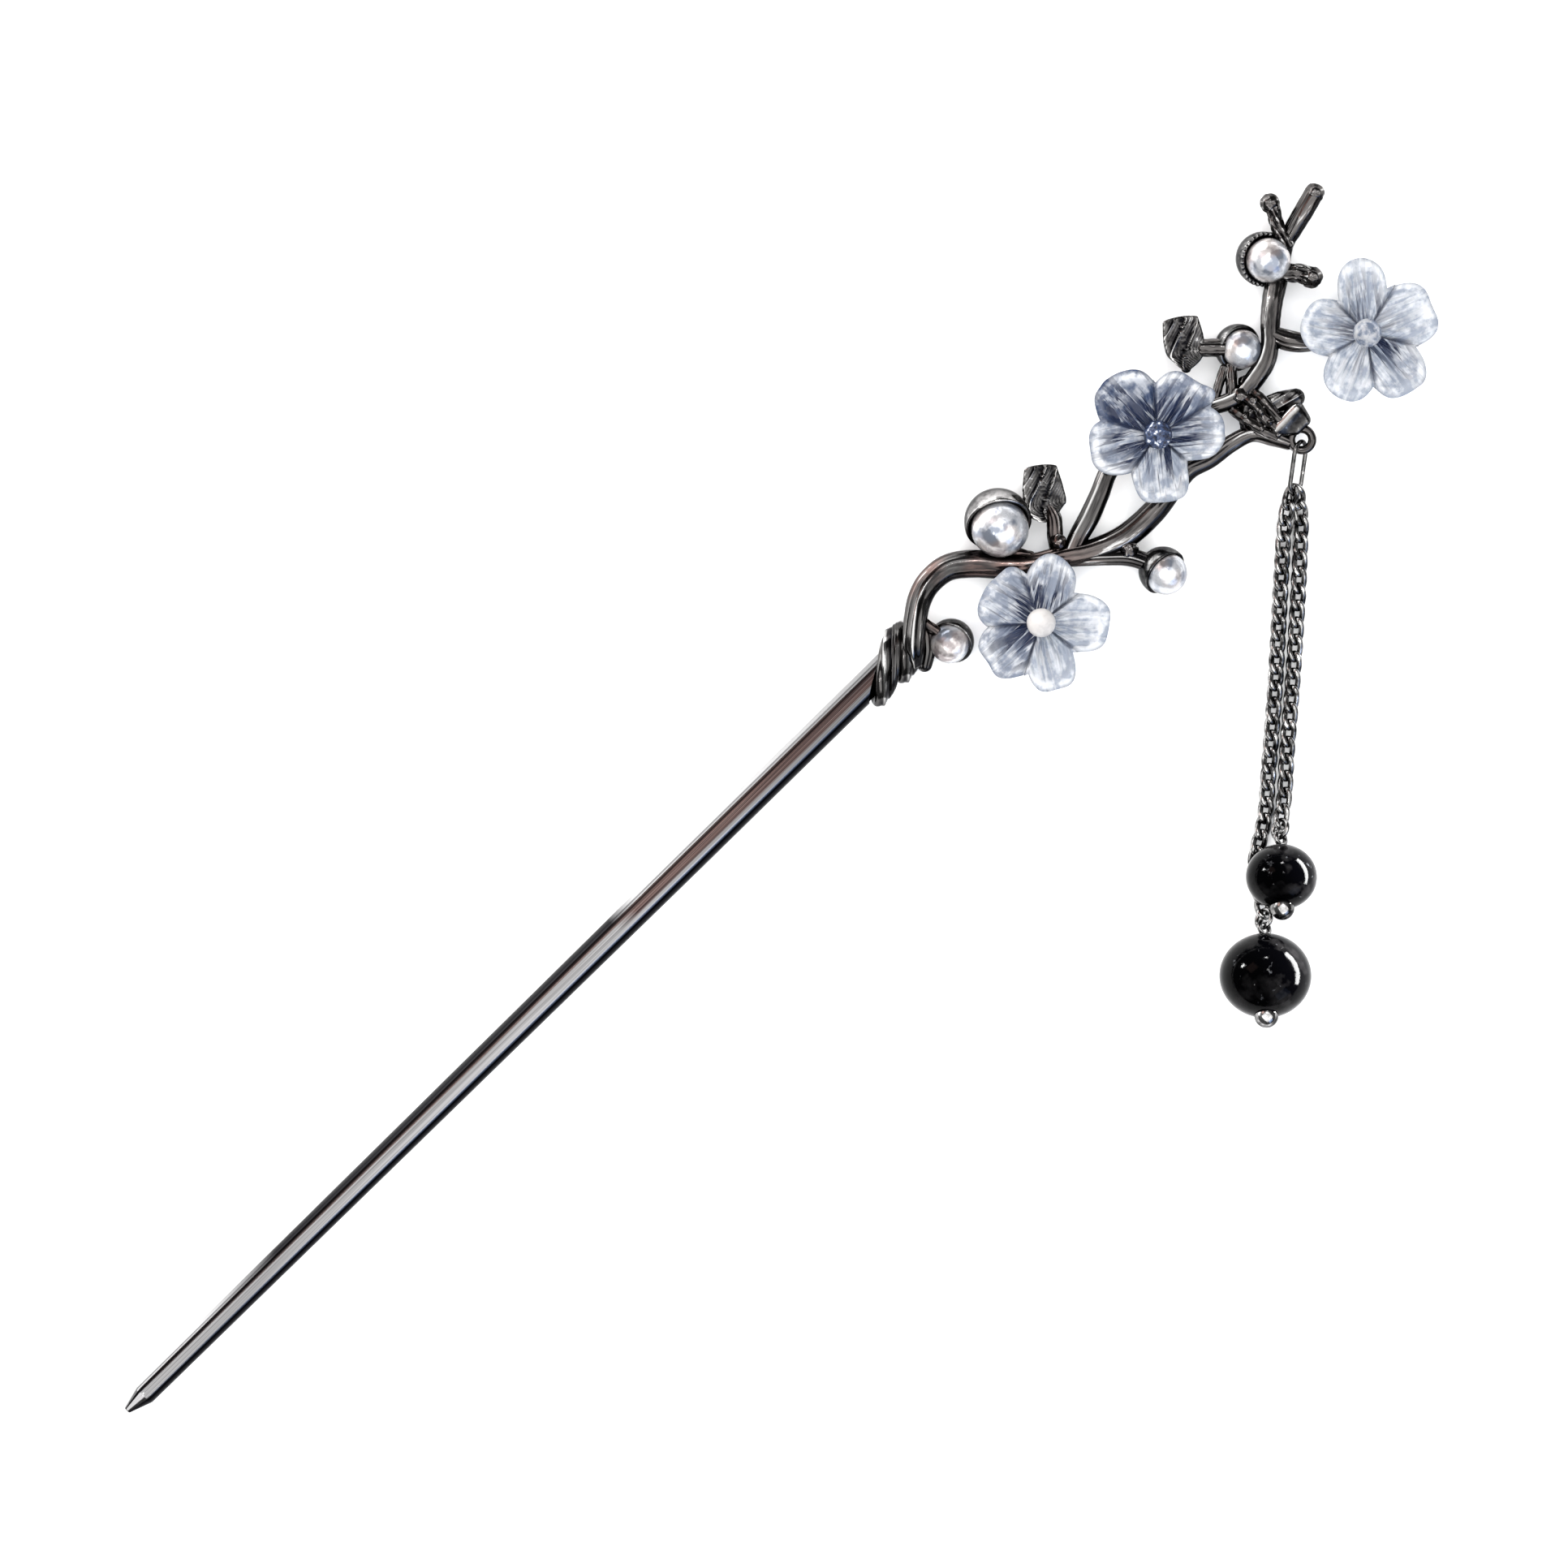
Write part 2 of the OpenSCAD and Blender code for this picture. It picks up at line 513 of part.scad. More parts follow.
function blossom_column(petals, a) =
    let (
        bore = centre_pin_d / 2 + fit_gap,
        edges = [for (petal = petals) cos(a - petal[0]) < 0.3 ? 0 : petal_edge(petal, a, 0, flower_d, 13)],
        far = max(max(edges), BLOSSOM_HUB * flower_d / 2),
        near = min([for (petal = petals) let (off = abs((a - petal[0] + 900) % 360 - 180)) off]),
        own = [for (petal = petals) if (abs((a - petal[0] + 900) % 360 - 180) == near) petal][0],
        spot = function (share, over)
            let (r = mix(bore, far, share), thick = petal_t * (1 - BLOSSOM_THIN * pow(share, 4)))
            [r * cos(a), r * sin(a), blossom_height(own, a, r) + (over ? thick : 0)]
    )
    concat([for (s = BLOSSOM_UNDER) spot(s, false)], [for (s = BLOSSOM_OVER) spot(s, true)]);

module blossom(at, petals) {
    rows = len(BLOSSOM_UNDER) + len(BLOSSOM_OVER);
    points = [for (i = [0 : BLOSSOM_COLUMNS - 1]) each blossom_column(petals, 360 * i / BLOSSOM_COLUMNS)];
    color(GLASS) on_branch() translate(place([at.x, at.y, 0]) + UP * (seat_top + seat_gap))
        polyhedron(points, skin_faces(BLOSSOM_COLUMNS, rows, true));
}

module centre(at, tint) {
    foot = seat_top - pin_deep + seat_gap;
    bead = seat_top + 2 * seat_gap + petal_t + centre_d / 2;
    color(tint) on_branch() translate(place([at.x, at.y, 0])) {
        translate([0, 0, bead]) sphere(d = centre_d, $fn = FINE);
        translate([0, 0, foot]) cylinder(d = centre_pin_d, h = bead - foot, $fn = FINE);
    }
}

// The oval ring: it hangs from the eye, leans over and slopes down to the strands
ring_lean = 61;
ring_half = (ring_w - ring_wire) / 2;
ring_reach = ring_l - ring_wire;
ring_top = [0, -(eye_hole - ring_wire) / 4, eye_on_surface.z];
ring_down = unit([-0.7, -5.2, -0.8]);
ring_across = unit(cross(ring_down, [sin(ring_lean), 0, cos(ring_lean)]));
ring_end = ring_top + ring_down * ring_reach;
strand_apart = 0.6;

module jump_ring() {
    color(GUNMETAL) on_surface()
        framed(mix(ring_top, ring_end, 0.5), ring_across, ring_down, cross(ring_across, ring_down))
        oval(ring_reach / 2 - ring_half, ring_half, ring_wire);
}

// A round wire bent to an oval of two half rings and two straights
module oval(straight_half, bend_r, wire) {
    for (turn = [0, 180]) rotate([0, 0, turn]) {
        translate([0, straight_half, 0]) rotate_extrude(angle = 180, $fn = FINE)
            translate([bend_r, 0]) circle(d = wire, $fn = FINE);
        translate([bend_r, -straight_half, 0]) rotate([-90, 0, 0])
            cylinder(d = wire, h = 2 * straight_half, $fn = FINE);
    }
}

// The lower ends: bead, pin loop and small ring, worked back from the middle of the bead to the strand
bead_lean = 25;
end_rise = 26;
bead_down = [0, -cos(bead_lean), sin(bead_lean)];
end_down = [0, -cos(end_rise), sin(end_rise)];
end_gap = 1.4 * link_gap;
loop_r = (pin_loop_d - pin_wire) / 2;
small_ring_r = (small_ring_d - small_ring_wire) / 2;
bead_lift = 0.75;
short_drop = long_drop - (bead_large_l + bead_small_l) / 2 - bead_apart;
small_bead_at = [-short_aside, -short_drop, bead_small_d / 2 + bead_lift];
large_bead_at = [-long_aside, -long_drop, bead_large_d / 2];
function loop_at(bead, l) = bead - bead_down * (l / 2 + seat_gap + pin_wire / 2 + loop_r);
function end_ring_at(bead, l) =
    let (apart = (pin_wire + small_ring_wire) / 2 + link_gap)
    loop_at(bead, l) - bead_down * loop_r + end_down * (apart - small_ring_r);
function strand_end(bead, l) =
    end_ring_at(bead, l) + end_down * (small_ring_wire / 2 + end_gap - small_ring_r);

// Link wires cross at a right angle where they meet; these directions follow that crossing
link_half_w = (link_w - link_wire) / 2;
link_twist = 0.56 * link_half_w;
cross_turn = atan(2 * link_twist / link_half_w);
ring_side = unit(cross(end_down, [cos(cross_turn), 0, -sin(cross_turn)]));
bead_side = unit(ring_side - bead_down * (ring_side * bead_down));

module end_ring(bead, l) {
    color(GUNMETAL) on_surface()
        framed(end_ring_at(bead, l), end_down, ring_side, cross(end_down, ring_side))
        rotate_extrude($fn = FINE) translate([small_ring_r, 0]) circle(d = small_ring_wire, $fn = FINE);
}

// A pin: the loop, the wire through the bead and the domed head against it
module bead_pin(bead, l) {
    color(GUNMETAL) on_surface() framed(loop_at(bead, l), cross(bead_side, bead_down), bead_side, bead_down) {
        rotate([90, 0, 0]) rotate([0, 0, 90])
            rotate_extrude($fn = FINE) translate([loop_r, 0]) circle(d = pin_wire, $fn = FINE);
        translate([0, 0, loop_r]) cylinder(d = pin_wire, h = l + pin_wire / 2 + 3 * seat_gap, $fn = FINE);
        translate([0, 0, loop_r + pin_wire / 2 + l + 2 * seat_gap]) difference() {
            translate([0, 0, pin_head_h - pin_head_d / 2]) sphere(d = pin_head_d, $fn = FINE);
            translate([-pin_head_d, -pin_head_d, -2 * pin_head_d]) cube(2 * pin_head_d);
        }
    }
}

// A bead: a round one drawn in along its hole, its side one arc from hole to hole
module bead(at, d, l) {
    bore_r = bead_bore / 2;
    arc_at = (d * d - l * l - 4 * bore_r * bore_r) / (4 * (d - 2 * bore_r));
    color(BLACK) on_surface() framed(at, cross(bead_side, bead_down), bead_side, bead_down)
        rotate_extrude($fn = FINE) difference() {
            translate([arc_at, 0]) circle(r = d / 2 - arc_at, $fn = FINE);
            translate([-d, -d]) square([d + bore_r, 2 * d]);
        }
}

// A curb link: a flat oval of wire, twisted so that its two ends cross the next links at a right angle
LINK_RINGS = 10;
LINK_SIDES = 5;

module curb_link(half_l) {
    function wire_at(a) = [link_half_w * cos(a), half_l * sin(a), link_twist * sin(2 * a)];
    points = [for (i = [0 : LINK_RINGS - 1])
        let (
            a = 360 * i / LINK_RINGS + 18,
            ahead = unit(wire_at(a + 1) - wire_at(a - 1)),
            out = unit(cross(ahead, UP))
        )
        each ring_points(wire_at(a), out, cross(out, ahead), link_wire / 2, link_wire / 2, LINK_SIDES)];
    polyhedron(points, skin_faces(LINK_RINGS, LINK_SIDES, true));
}

// Distances along a path of points, and the place at a distance
function steps_along(path) =
    [for (i = 0, s = 0; i < len(path); i = i + 1, s = i < len(path) ? s + norm(path[i] - path[i - 1]) : s) s];
function place_along(path, steps, s) =
    [for (axis = [0 : 2]) lookup(s, [for (i = [0 : len(path) - 1]) [steps[i], path[i][axis]]])];

// A strand of links from the oval ring to its end, following its route
lying_up = link_twist + link_wire / 2 + 0.04;

module strand(side, route, bead, l) {
    turn = asin(side * strand_apart / ring_half);
    out = ring_down * cos(turn) + ring_across * sin(turn);
    start = ring_end - ring_down * ring_half + out * (ring_half - ring_wire / 2 - end_gap);
    places = [for (row = route)
        [row.x * bead.x / 100, mix(ring_end.y, -short_drop, row.y / 100), row.z * lying_up]];
    path = smooth(concat([start], places, [strand_end(bead, l)]), 8);
    steps = steps_along(path);
    total = steps[len(steps) - 1];
    links = round(total / link_pitch);
    color(GUNMETAL) on_surface() for (i = [0 : links - 1]) {
        a = place_along(path, steps, total * i / links);
        b = place_along(path, steps, total * (i + 1) / links);
        along = unit(b - a);
        across = unit(cross(along, UP));
        framed(mix(a, b, 0.5), across, along, cross(across, along))
            curb_link(norm(b - a) / 2 + (link_wire + link_gap) / 2);
    }
}

shaft();
branch();
blossom(LOW_AT, LOW_PETALS);  // flower_low
blossom(MID_AT, MID_PETALS);  // flower_mid
blossom(TOP_AT, TOP_PETALS);  // flower_top
centre(LOW_AT, MILK);  // centre_low
centre(MID_AT, GUNMETAL);  // centre_mid
centre(TOP_AT, GLASS);  // centre_top
pearl(ARCH_CUP, pearl_arch_d);  // pearl_arch
pearl(ROOT_CUP, pearl_root_d);  // pearl_root
pearl(TWIG_CUP, pearl_twig_d);  // pearl_twig
pearl(KNOT_CUP, pearl_knot_d);  // pearl_knot
pearl(TOP_CUP, pearl_top_d);  // pearl_top
jump_ring();
strand(-1, SHORT_ROUTE, small_bead_at, bead_small_l);  // chain_short
strand(1, LONG_ROUTE, large_bead_at, bead_large_l);  // chain_long
end_ring(small_bead_at, bead_small_l);  // ring_short
end_ring(large_bead_at, bead_large_l);  // ring_long
bead_pin(small_bead_at, bead_small_l);  // pin_short
bead_pin(large_bead_at, bead_large_l);  // pin_long
bead(small_bead_at, bead_small_d, bead_small_l);  // bead_small
bead(large_bead_at, bead_large_d, bead_large_l);  // bead_large
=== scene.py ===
"""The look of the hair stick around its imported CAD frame: metal, glass, pearls, beads, floor and light."""

from math import asin, atan, cos, hypot, pi, radians, sin, sqrt, tanh

import bmesh
import bpy
import numpy as np
from mathutils import Matrix, Vector, noise


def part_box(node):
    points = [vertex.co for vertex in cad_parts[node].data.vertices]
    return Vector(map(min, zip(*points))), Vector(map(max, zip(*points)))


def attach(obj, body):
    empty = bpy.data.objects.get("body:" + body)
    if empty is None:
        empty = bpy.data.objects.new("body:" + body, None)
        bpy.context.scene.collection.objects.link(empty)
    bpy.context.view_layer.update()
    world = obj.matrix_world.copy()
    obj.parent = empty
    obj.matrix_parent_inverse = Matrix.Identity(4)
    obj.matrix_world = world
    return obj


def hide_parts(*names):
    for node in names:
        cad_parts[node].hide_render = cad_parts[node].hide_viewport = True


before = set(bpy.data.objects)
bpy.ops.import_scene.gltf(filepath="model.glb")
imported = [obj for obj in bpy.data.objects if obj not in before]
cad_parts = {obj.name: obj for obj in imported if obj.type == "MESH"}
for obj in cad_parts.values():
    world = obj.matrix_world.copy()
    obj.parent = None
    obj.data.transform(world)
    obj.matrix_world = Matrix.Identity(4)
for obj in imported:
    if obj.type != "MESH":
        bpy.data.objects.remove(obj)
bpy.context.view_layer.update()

MM = 0.001
UP = np.array([0.0, 0.0, 1.0])

# Sizes of the stick and the wrap in millimetres, as in the CAD source
WRAP_AT = 120
ROOT_L = 2.6
SHAFT_D = 3.3
STRAIGHT_L = 26
ROOT_STEP = 0.2
TIP_D = 2.7
POINT_L = 2.7
BLUNT_D = 0.8
WRAP_PITCH = 3.7
WRAP_T = 1.3
WRAP_LEAN = 0.95
WRAP_START = 0.8
FIT_GAP = 0.08
SEAT_GAP = 0.08
LINK_GAP = 0.17

# Sizes of the branch, its blossoms and cups
SPRAY_W = 60
SPRAY_H = 52
SPRAY_TURN = radians(44.4)
STEM_D = 2.6
LEAF_T = 0.9
EYE_HOLE = 1.4
EYE_T = 0.95
FLOWER_D = 15.4
PETAL_W = 6.4
PETAL_T = 1.1
PETAL_RISE = 1.3
CENTRE_PIN_D = 0.8
CUP_WALL = 0.4
CUP_RIM = 0.12
SEAT_WALL = 1.1

# Sizes of the tassel
LONG_DROP = 59.2
BEAD_APART = 2.75
RING_L = 6.4
RING_W = 3.3
RING_WIRE = 0.5
LINK_W = 1.7
LINK_WIRE = 0.45
LINK_PITCH = 1.86
SMALL_RING_D = 2.6
SMALL_RING_WIRE = 0.5
PIN_WIRE = 0.55
PIN_LOOP_D = 2.1
STRAND_APART = 0.6
BEAD_LEAN = radians(25)
END_RISE = radians(26)
RING_LEAN = radians(61)

# The photograph: its size, its scale and the pixel of the stick's point; the camera's lens and sensor in mm
PHOTO_W = 1932
PHOTO_H = 1916
MM_PER_PIXEL = 0.09
POINT_PIXEL = (157, 1737)
CAMERA_LENS = 200
SENSOR = 36


def unit(v):
    """The same direction with length one; rows of an array are taken one by one."""
    v = np.asarray(v, float)
    return v / np.linalg.norm(v, axis=-1, keepdims=True)


def bell(off, width, power=2):
    """A smooth bump: 1 where off is 0, and next to nothing two widths away."""
    return np.exp(-((off / width) ** power))


# Frames, worked out from the sizes as in the CAD source
shaft_l = WRAP_AT + ROOT_L
root_r = SHAFT_D / 2 - ROOT_STEP
wrap_r = root_r + FIT_GAP + WRAP_T / 2
step_at = WRAP_AT - WRAP_START * WRAP_PITCH - WRAP_LEAN * wrap_r - STEM_D / 2 - FIT_GAP
lie = atan((wrap_r + WRAP_T / 2 - TIP_D / 2) / (WRAP_AT - POINT_L))
lift = TIP_D / 2 * cos(lie) - POINT_L * sin(lie)


def place(row):
    """A table row, in percent of the branch and shares of the stem, as a point in millimetres."""
    return np.array([row[0] * SPRAY_W / 100, row[1] * SPRAY_H / 100, row[2] * STEM_D])


def moved(matrix, points):
    """Points carried by a 4x4 matrix."""
    m = np.array(matrix)
    return np.asarray(points, float) @ m[:3, :3].T + m[:3, 3]


def add_object(name, data):
    """A new object in the scene."""
    made = bpy.data.objects.new(name, data)
    bpy.context.scene.collection.objects.link(made)
    return made


stick_tip_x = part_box("shaft")[0].x / MM


# CAMERA AND PHOTO DIRECTIONS come first
photo_right = np.array([cos(SPRAY_TURN), -sin(SPRAY_TURN), 0.0])
photo_up = np.array([sin(SPRAY_TURN), cos(SPRAY_TURN), 0.0])
stick_y = (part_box("shaft")[0].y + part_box("shaft")[1].y) / 2 / MM
foot = np.array([-stick_tip_x, -stick_y, 0.0])


def photo_point(px, py, height=0.0):
    """The place in millimetres that a pixel of the photograph looks straight down on."""
    right = (px - POINT_PIXEL[0]) * MM_PER_PIXEL
    up = (POINT_PIXEL[1] - py) * MM_PER_PIXEL
    return right * photo_right + up * photo_up - foot + height * UP


camera = add_object("camera", bpy.data.cameras.new("camera"))
camera.data.lens = CAMERA_LENS
camera.data.sensor_width = SENSOR
camera.data.clip_start = 0.01
camera.data.clip_end = 20
camera_height = PHOTO_W * MM_PER_PIXEL / SENSOR * CAMERA_LENS
camera.location = Vector(photo_point(PHOTO_W / 2, PHOTO_H / 2, camera_height) * MM)
camera.rotation_euler = (0, 0, -SPRAY_TURN)
bpy.context.scene.camera = camera

to_row = Matrix.Translation((-foot[0], -foot[1], 0))
on_stick = to_row @ Matrix.Translation((0, 0, lift)) @ Matrix.Rotation(-lie, 4, "Y")
on_branch = on_stick @ Matrix.Translation((WRAP_AT, 0, 0)) @ Matrix.Rotation(-SPRAY_TURN, 4, "Z")

EYE = (73.8, 45.2, 0)
eye_at = place(EYE)
eye_on_row = moved(on_branch, [eye_at])[0]
on_surface = Matrix.Translation((eye_on_row[0], eye_on_row[1], 0)) @ Matrix.Rotation(-SPRAY_TURN, 4, "Z")
eye_height = eye_on_row[2]


# MESH TOOLS


# Values at each point of the metal: distance along a stem, the place round it, and the height of its relief
METAL_VALUES = ("along", "co", "si", "high")

# Values at each point of a petal: place across, distance out, ink, share of the length, distance to a valley
PETAL_VALUES = ("across", "out", "ink", "share", "gap")


class Skin:
    """Closed bodies gathered into one mesh, with a few surface values at each point."""

    def __init__(self, names=METAL_VALUES):
        self.names = names
        self.points = []
        self.faces = []
        self.values = []
        self.count = 0

    def add(self, points, faces, values):
        points = np.asarray(points, float).reshape(-1, 3)
        self.faces += [tuple(i + self.count for i in face) for face in faces]
        self.points.append(points)
        self.values.append(np.asarray(values, float).reshape(len(points), -1))
        self.count += len(points)


def grid_faces(rows, columns, rows_meet=False):
    """Quads over rows of points whose columns close on themselves."""
    faces = []
    for i in range(rows if rows_meet else rows - 1):
        nxt = (i + 1) % rows
        for j in range(columns):
            k = (j + 1) % columns
            faces.append((i * columns + j, i * columns + k, nxt * columns + k, nxt * columns + j))
    return faces


def smooth(rows, steps):
    """A Catmull-Rom curve through rows of numbers."""
    rows = np.asarray(rows, float)
    last = len(rows) - 1
    out = []
    for i in range(last):
        a, b, c, d = rows[max(i - 1, 0)], rows[i], rows[i + 1], rows[min(i + 2, last)]
        for j in range(steps):
            t = j / steps
            bend = 2 * a - 5 * b + 4 * c - d
            out.append(0.5 * (2 * b + (c - a) * t + bend * t**2 + (3 * b - a - 3 * c + d) * t**3))
    return np.array(out + [rows[last]])


def headings(path, closed=False):
    """The direction of a path at each of its points."""
    if closed:
        return unit(np.roll(path, -1, axis=0) - np.roll(path, 1, axis=0))
    padded = np.vstack([path[:1], path, path[-1:]])
    return unit(padded[2:] - padded[:-2])


def tube(
    skin, path, half_w, half_t=None, sides=32, relief=None, rounding=0.6, closed=False, up=None, power=1.0
):
    """Sweeps an oval along a path. relief(along, angle, across) moves the skin out, in millimetres."""
    path = np.asarray(path, float)
    half_w = np.broadcast_to(np.asarray(half_w, float), (len(path),))
    half_t = half_w if half_t is None else np.broadcast_to(np.asarray(half_t, float), (len(path),))
    ahead = headings(path, closed)
    up = np.broadcast_to(UP if up is None else up, ahead.shape)
    side = unit(np.cross(ahead, up))
    top = np.cross(side, ahead)
    along = np.concatenate([[0], np.cumsum(np.linalg.norm(np.diff(path, axis=0), axis=1))])
    scale = np.ones(len(path))
    if not closed:
        cap = np.radians([78, 62, 46, 30, 15])
        reach = rounding * min(half_w[0], half_t[0])
        end_reach = rounding * min(half_w[-1], half_t[-1])
        path = np.vstack([
            path[0] - ahead[0] * np.sin(cap)[:, None] * reach, path,
            path[-1] + ahead[-1] * np.sin(cap[::-1])[:, None] * end_reach,
        ])
        scale = np.concatenate([np.cos(cap), scale, np.cos(cap[::-1])])
        pick = np.clip(np.arange(len(path)) - len(cap), 0, len(along) - 1)
        half_w, half_t, side, top, along = half_w[pick], half_t[pick], side[pick], top[pick], along[pick]
        first_pole = path[0] - ahead[0] * reach * (1 - sin(cap[0]))
        last_pole = path[-1] + ahead[-1] * end_reach * (1 - sin(cap[0]))
    angle = 2 * pi * (np.arange(sides) + 0.5) / sides
    c, s = np.cos(angle), np.sin(angle)
    c, s = np.sign(c) * np.abs(c) ** power, np.sign(s) * np.abs(s) ** power
    w, t = np.outer(half_w * scale, c), np.outer(half_t * scale, s)
    out = np.zeros_like(w)
    if relief is not None:
        out = out + relief(along[:, None], angle[None, :], w) * np.minimum(scale, 1)[:, None]
        w, t = w + out * np.cos(angle), t + out * np.sin(angle)
    points = path[:, None] + side[:, None] * w[..., None] + top[:, None] * t[..., None]
    values = np.stack(np.broadcast_arrays(along[:, None], np.cos(angle), np.sin(angle), out), axis=-1)
    faces = grid_faces(len(path), sides, closed)
    points, values = points.reshape(-1, 3), values.reshape(-1, 4)
    if not closed:
        n = len(points)
        points = np.vstack([points, first_pole, last_pole])
        values = np.vstack([values, values[:1], values[-1:]])
        faces += [(n, (j + 1) % sides, j) for j in range(sides)]
        low = n - sides
        faces += [(n + 1, low + j, low + (j + 1) % sides) for j in range(sides)]
    skin.add(points, faces, values)


def lathe(skin, profile, matrix, sides=72, relief=None, marks=None):
    """Turns a profile of (radius, height) that starts and ends on the axis into a closed body.

    A profile that keeps clear of the axis closes on itself instead. marks are added to the value "high".
    """
    profile = np.asarray(profile, float)
    marks = np.zeros(len(profile)) if marks is None else np.asarray(marks, float)
    ringed = profile[0][0] > 0
    angle = 2 * pi * np.arange(sides) / sides
    rings, values = [], []
    for (radius, height), mark in list(zip(profile, marks))[0 if ringed else 1 : None if ringed else -1]:
        grow = relief(radius, height, angle) if relief else np.zeros(sides)
        r = radius + grow
        level = np.full(sides, height)
        rings.append(np.stack([r * np.cos(angle), r * np.sin(angle), level + grow * 0.5], axis=1))
        values.append(np.stack([level, np.cos(angle), np.sin(angle), grow + mark], axis=1))
    faces = grid_faces(len(rings), sides, ringed)
    if not ringed:
        n = len(rings) * sides
        rings += [[[0, 0, profile[0][1]]], [[0, 0, profile[-1][1]]]]
        values += [values[0][:1], values[-1][:1]]
        faces += [(n, (j + 1) % sides, j) for j in range(sides)]
        faces += [(n + 1, n - sides + j, n - sides + (j + 1) % sides) for j in range(sides)]
    skin.add(moved(matrix, np.vstack(rings)), faces, np.vstack(values))


def make_piece(name, skin, finish, sharp=None, matrix=on_branch, stands_for=("branch",)):
    """A smooth mesh object in the row's frame, riding on the root; nothing of it dips under the surface."""
    mesh = bpy.data.meshes.new(name)
    points = moved(matrix, np.vstack(skin.points)) * MM
    points[:, 2] = np.maximum(points[:, 2], 0)
    mesh.from_pydata([tuple(p) for p in points], [], skin.faces)
    values = np.vstack(skin.values)
    for column, value in enumerate(skin.names):
        layer = mesh.attributes.new(value, "FLOAT", "POINT")
        layer.data.foreach_set("value", values[:, column].astype(np.float32))
    tidy = bmesh.new()
    tidy.from_mesh(mesh)
    bmesh.ops.recalc_face_normals(tidy, faces=tidy.faces)
    tidy.to_mesh(mesh)
    tidy.free()
    mesh.shade_smooth()
    if sharp is not None:
        mesh.set_sharp_from_angle(angle=radians(sharp))
    mesh.materials.append(finish)
    piece = add_object(name, mesh)
    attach(piece, "root")
    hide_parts(*stands_for)
    return piece


# MATERIALS


class Value:
    """A node's output, with short ways to build on it."""

    def __init__(self, finish, socket):
        self.finish = finish
        self.socket = socket

    def __mul__(self, other):
        return self.finish.math("MULTIPLY", self, other)

    def __add__(self, other):
        return self.finish.math("ADD", self, other)

    def clamped(self):
        """The same sum or product, kept from 0 to 1."""
        self.socket.node.use_clamp = True
        return self

    def spread(self, low, high, to_low=0.0, to_high=1.0):
        """The range from low to high, mapped to another range and held at its ends."""
        ranges = {"From Min": low, "From Max": high, "To Min": to_low, "To Max": to_high}
        return self.finish.node("MapRange", {"Value": self, **ranges})


class Finish:
    """A material and short ways to add nodes to it. Colours are given without their alpha."""

    def __init__(self, name, **shader):
        self.material = bpy.data.materials.new(name)
        self.material.use_nodes = True
        self.tree = self.material.node_tree
        self.look(**shader)

    def look(self, **inputs):
        """Sets inputs of the shader, with an underscore for each space in a name."""
        shader = self.tree.nodes["Principled BSDF"]
        self.set(shader, {key.replace("_", " "): value for key, value in inputs.items()})

    def set(self, node, inputs):
        for key, value in inputs.items():
            socket = node.inputs[key]
            if isinstance(value, Value):
                self.tree.links.new(value.socket, socket)
            else:
                socket.default_value = (*value, 1) if socket.type == "RGBA" else value

    def node(self, kind, inputs, output=0, **settings):
        """One output of a new node."""
        made = self.tree.nodes.new("ShaderNode" + kind)
        for key, value in settings.items():
            setattr(made, key, value)
        self.set(made, inputs)
        return Value(self, made.outputs[output])

    def attributes(self, *names):
        return [self.node("Attribute", {}, "Fac", attribute_name=name) for name in names]

    def part(self, kind, output, axis):
        """One axis of a node's vector, in the row's frame."""
        return self.node("SeparateXYZ", {0: self.node(kind, {}, output)}, axis)

    def math(self, operation, a, b):
        return self.node("Math", {0: a, 1: b}, operation=operation)

    def mix(self, share, a, b):
        return self.node("Mix", {0: share, 6: a, 7: b}, 2, data_type="RGBA")

    def layers(self, shade, *rows):
        """Colours laid over a shade one after another; each row is a colour's share and the colour."""
        for share, colour in rows:
            shade = self.mix(share, shade, colour)
        return shade

    def grain(self, size, detail=2, roughness=0.5, distortion=0.0):
        """Noise with grains of a size in millimetres."""
        return self.noise(self.node("TexCoord", {}, "Object"), 1 / (size * MM), detail, roughness, distortion)

    def noise(self, vector, scale, detail, roughness=0.5, distortion=0.0):
        inputs = {"Vector": vector, "Scale": scale, "Detail": detail}
        return self.node("TexNoise", {**inputs, "Roughness": roughness, "Distortion": distortion}, "Fac")

    def drawn(self, x, y, z, detail, roughness=0.5, distortion=0.0):
        """Noise over three values, drawn out along those that change slowly."""
        vector = self.node("CombineXYZ", {0: x, 1: y, 2: z})
        return self.noise(vector, 1.0, detail, roughness, distortion)

    def bump(self, height, distance, strength=1.0):
        self.look(Normal=self.node("Bump", {"Height": height, "Distance": distance, "Strength": strength}))


# BLACK is laid on as painted shade, and in the metal's recesses
BLACK = (0.004, 0.004, 0.005)
WARM = (1.36, 0.98, 0.9)
ARCH_FROM, ARCH_TO = 31 * MM, 42 * MM


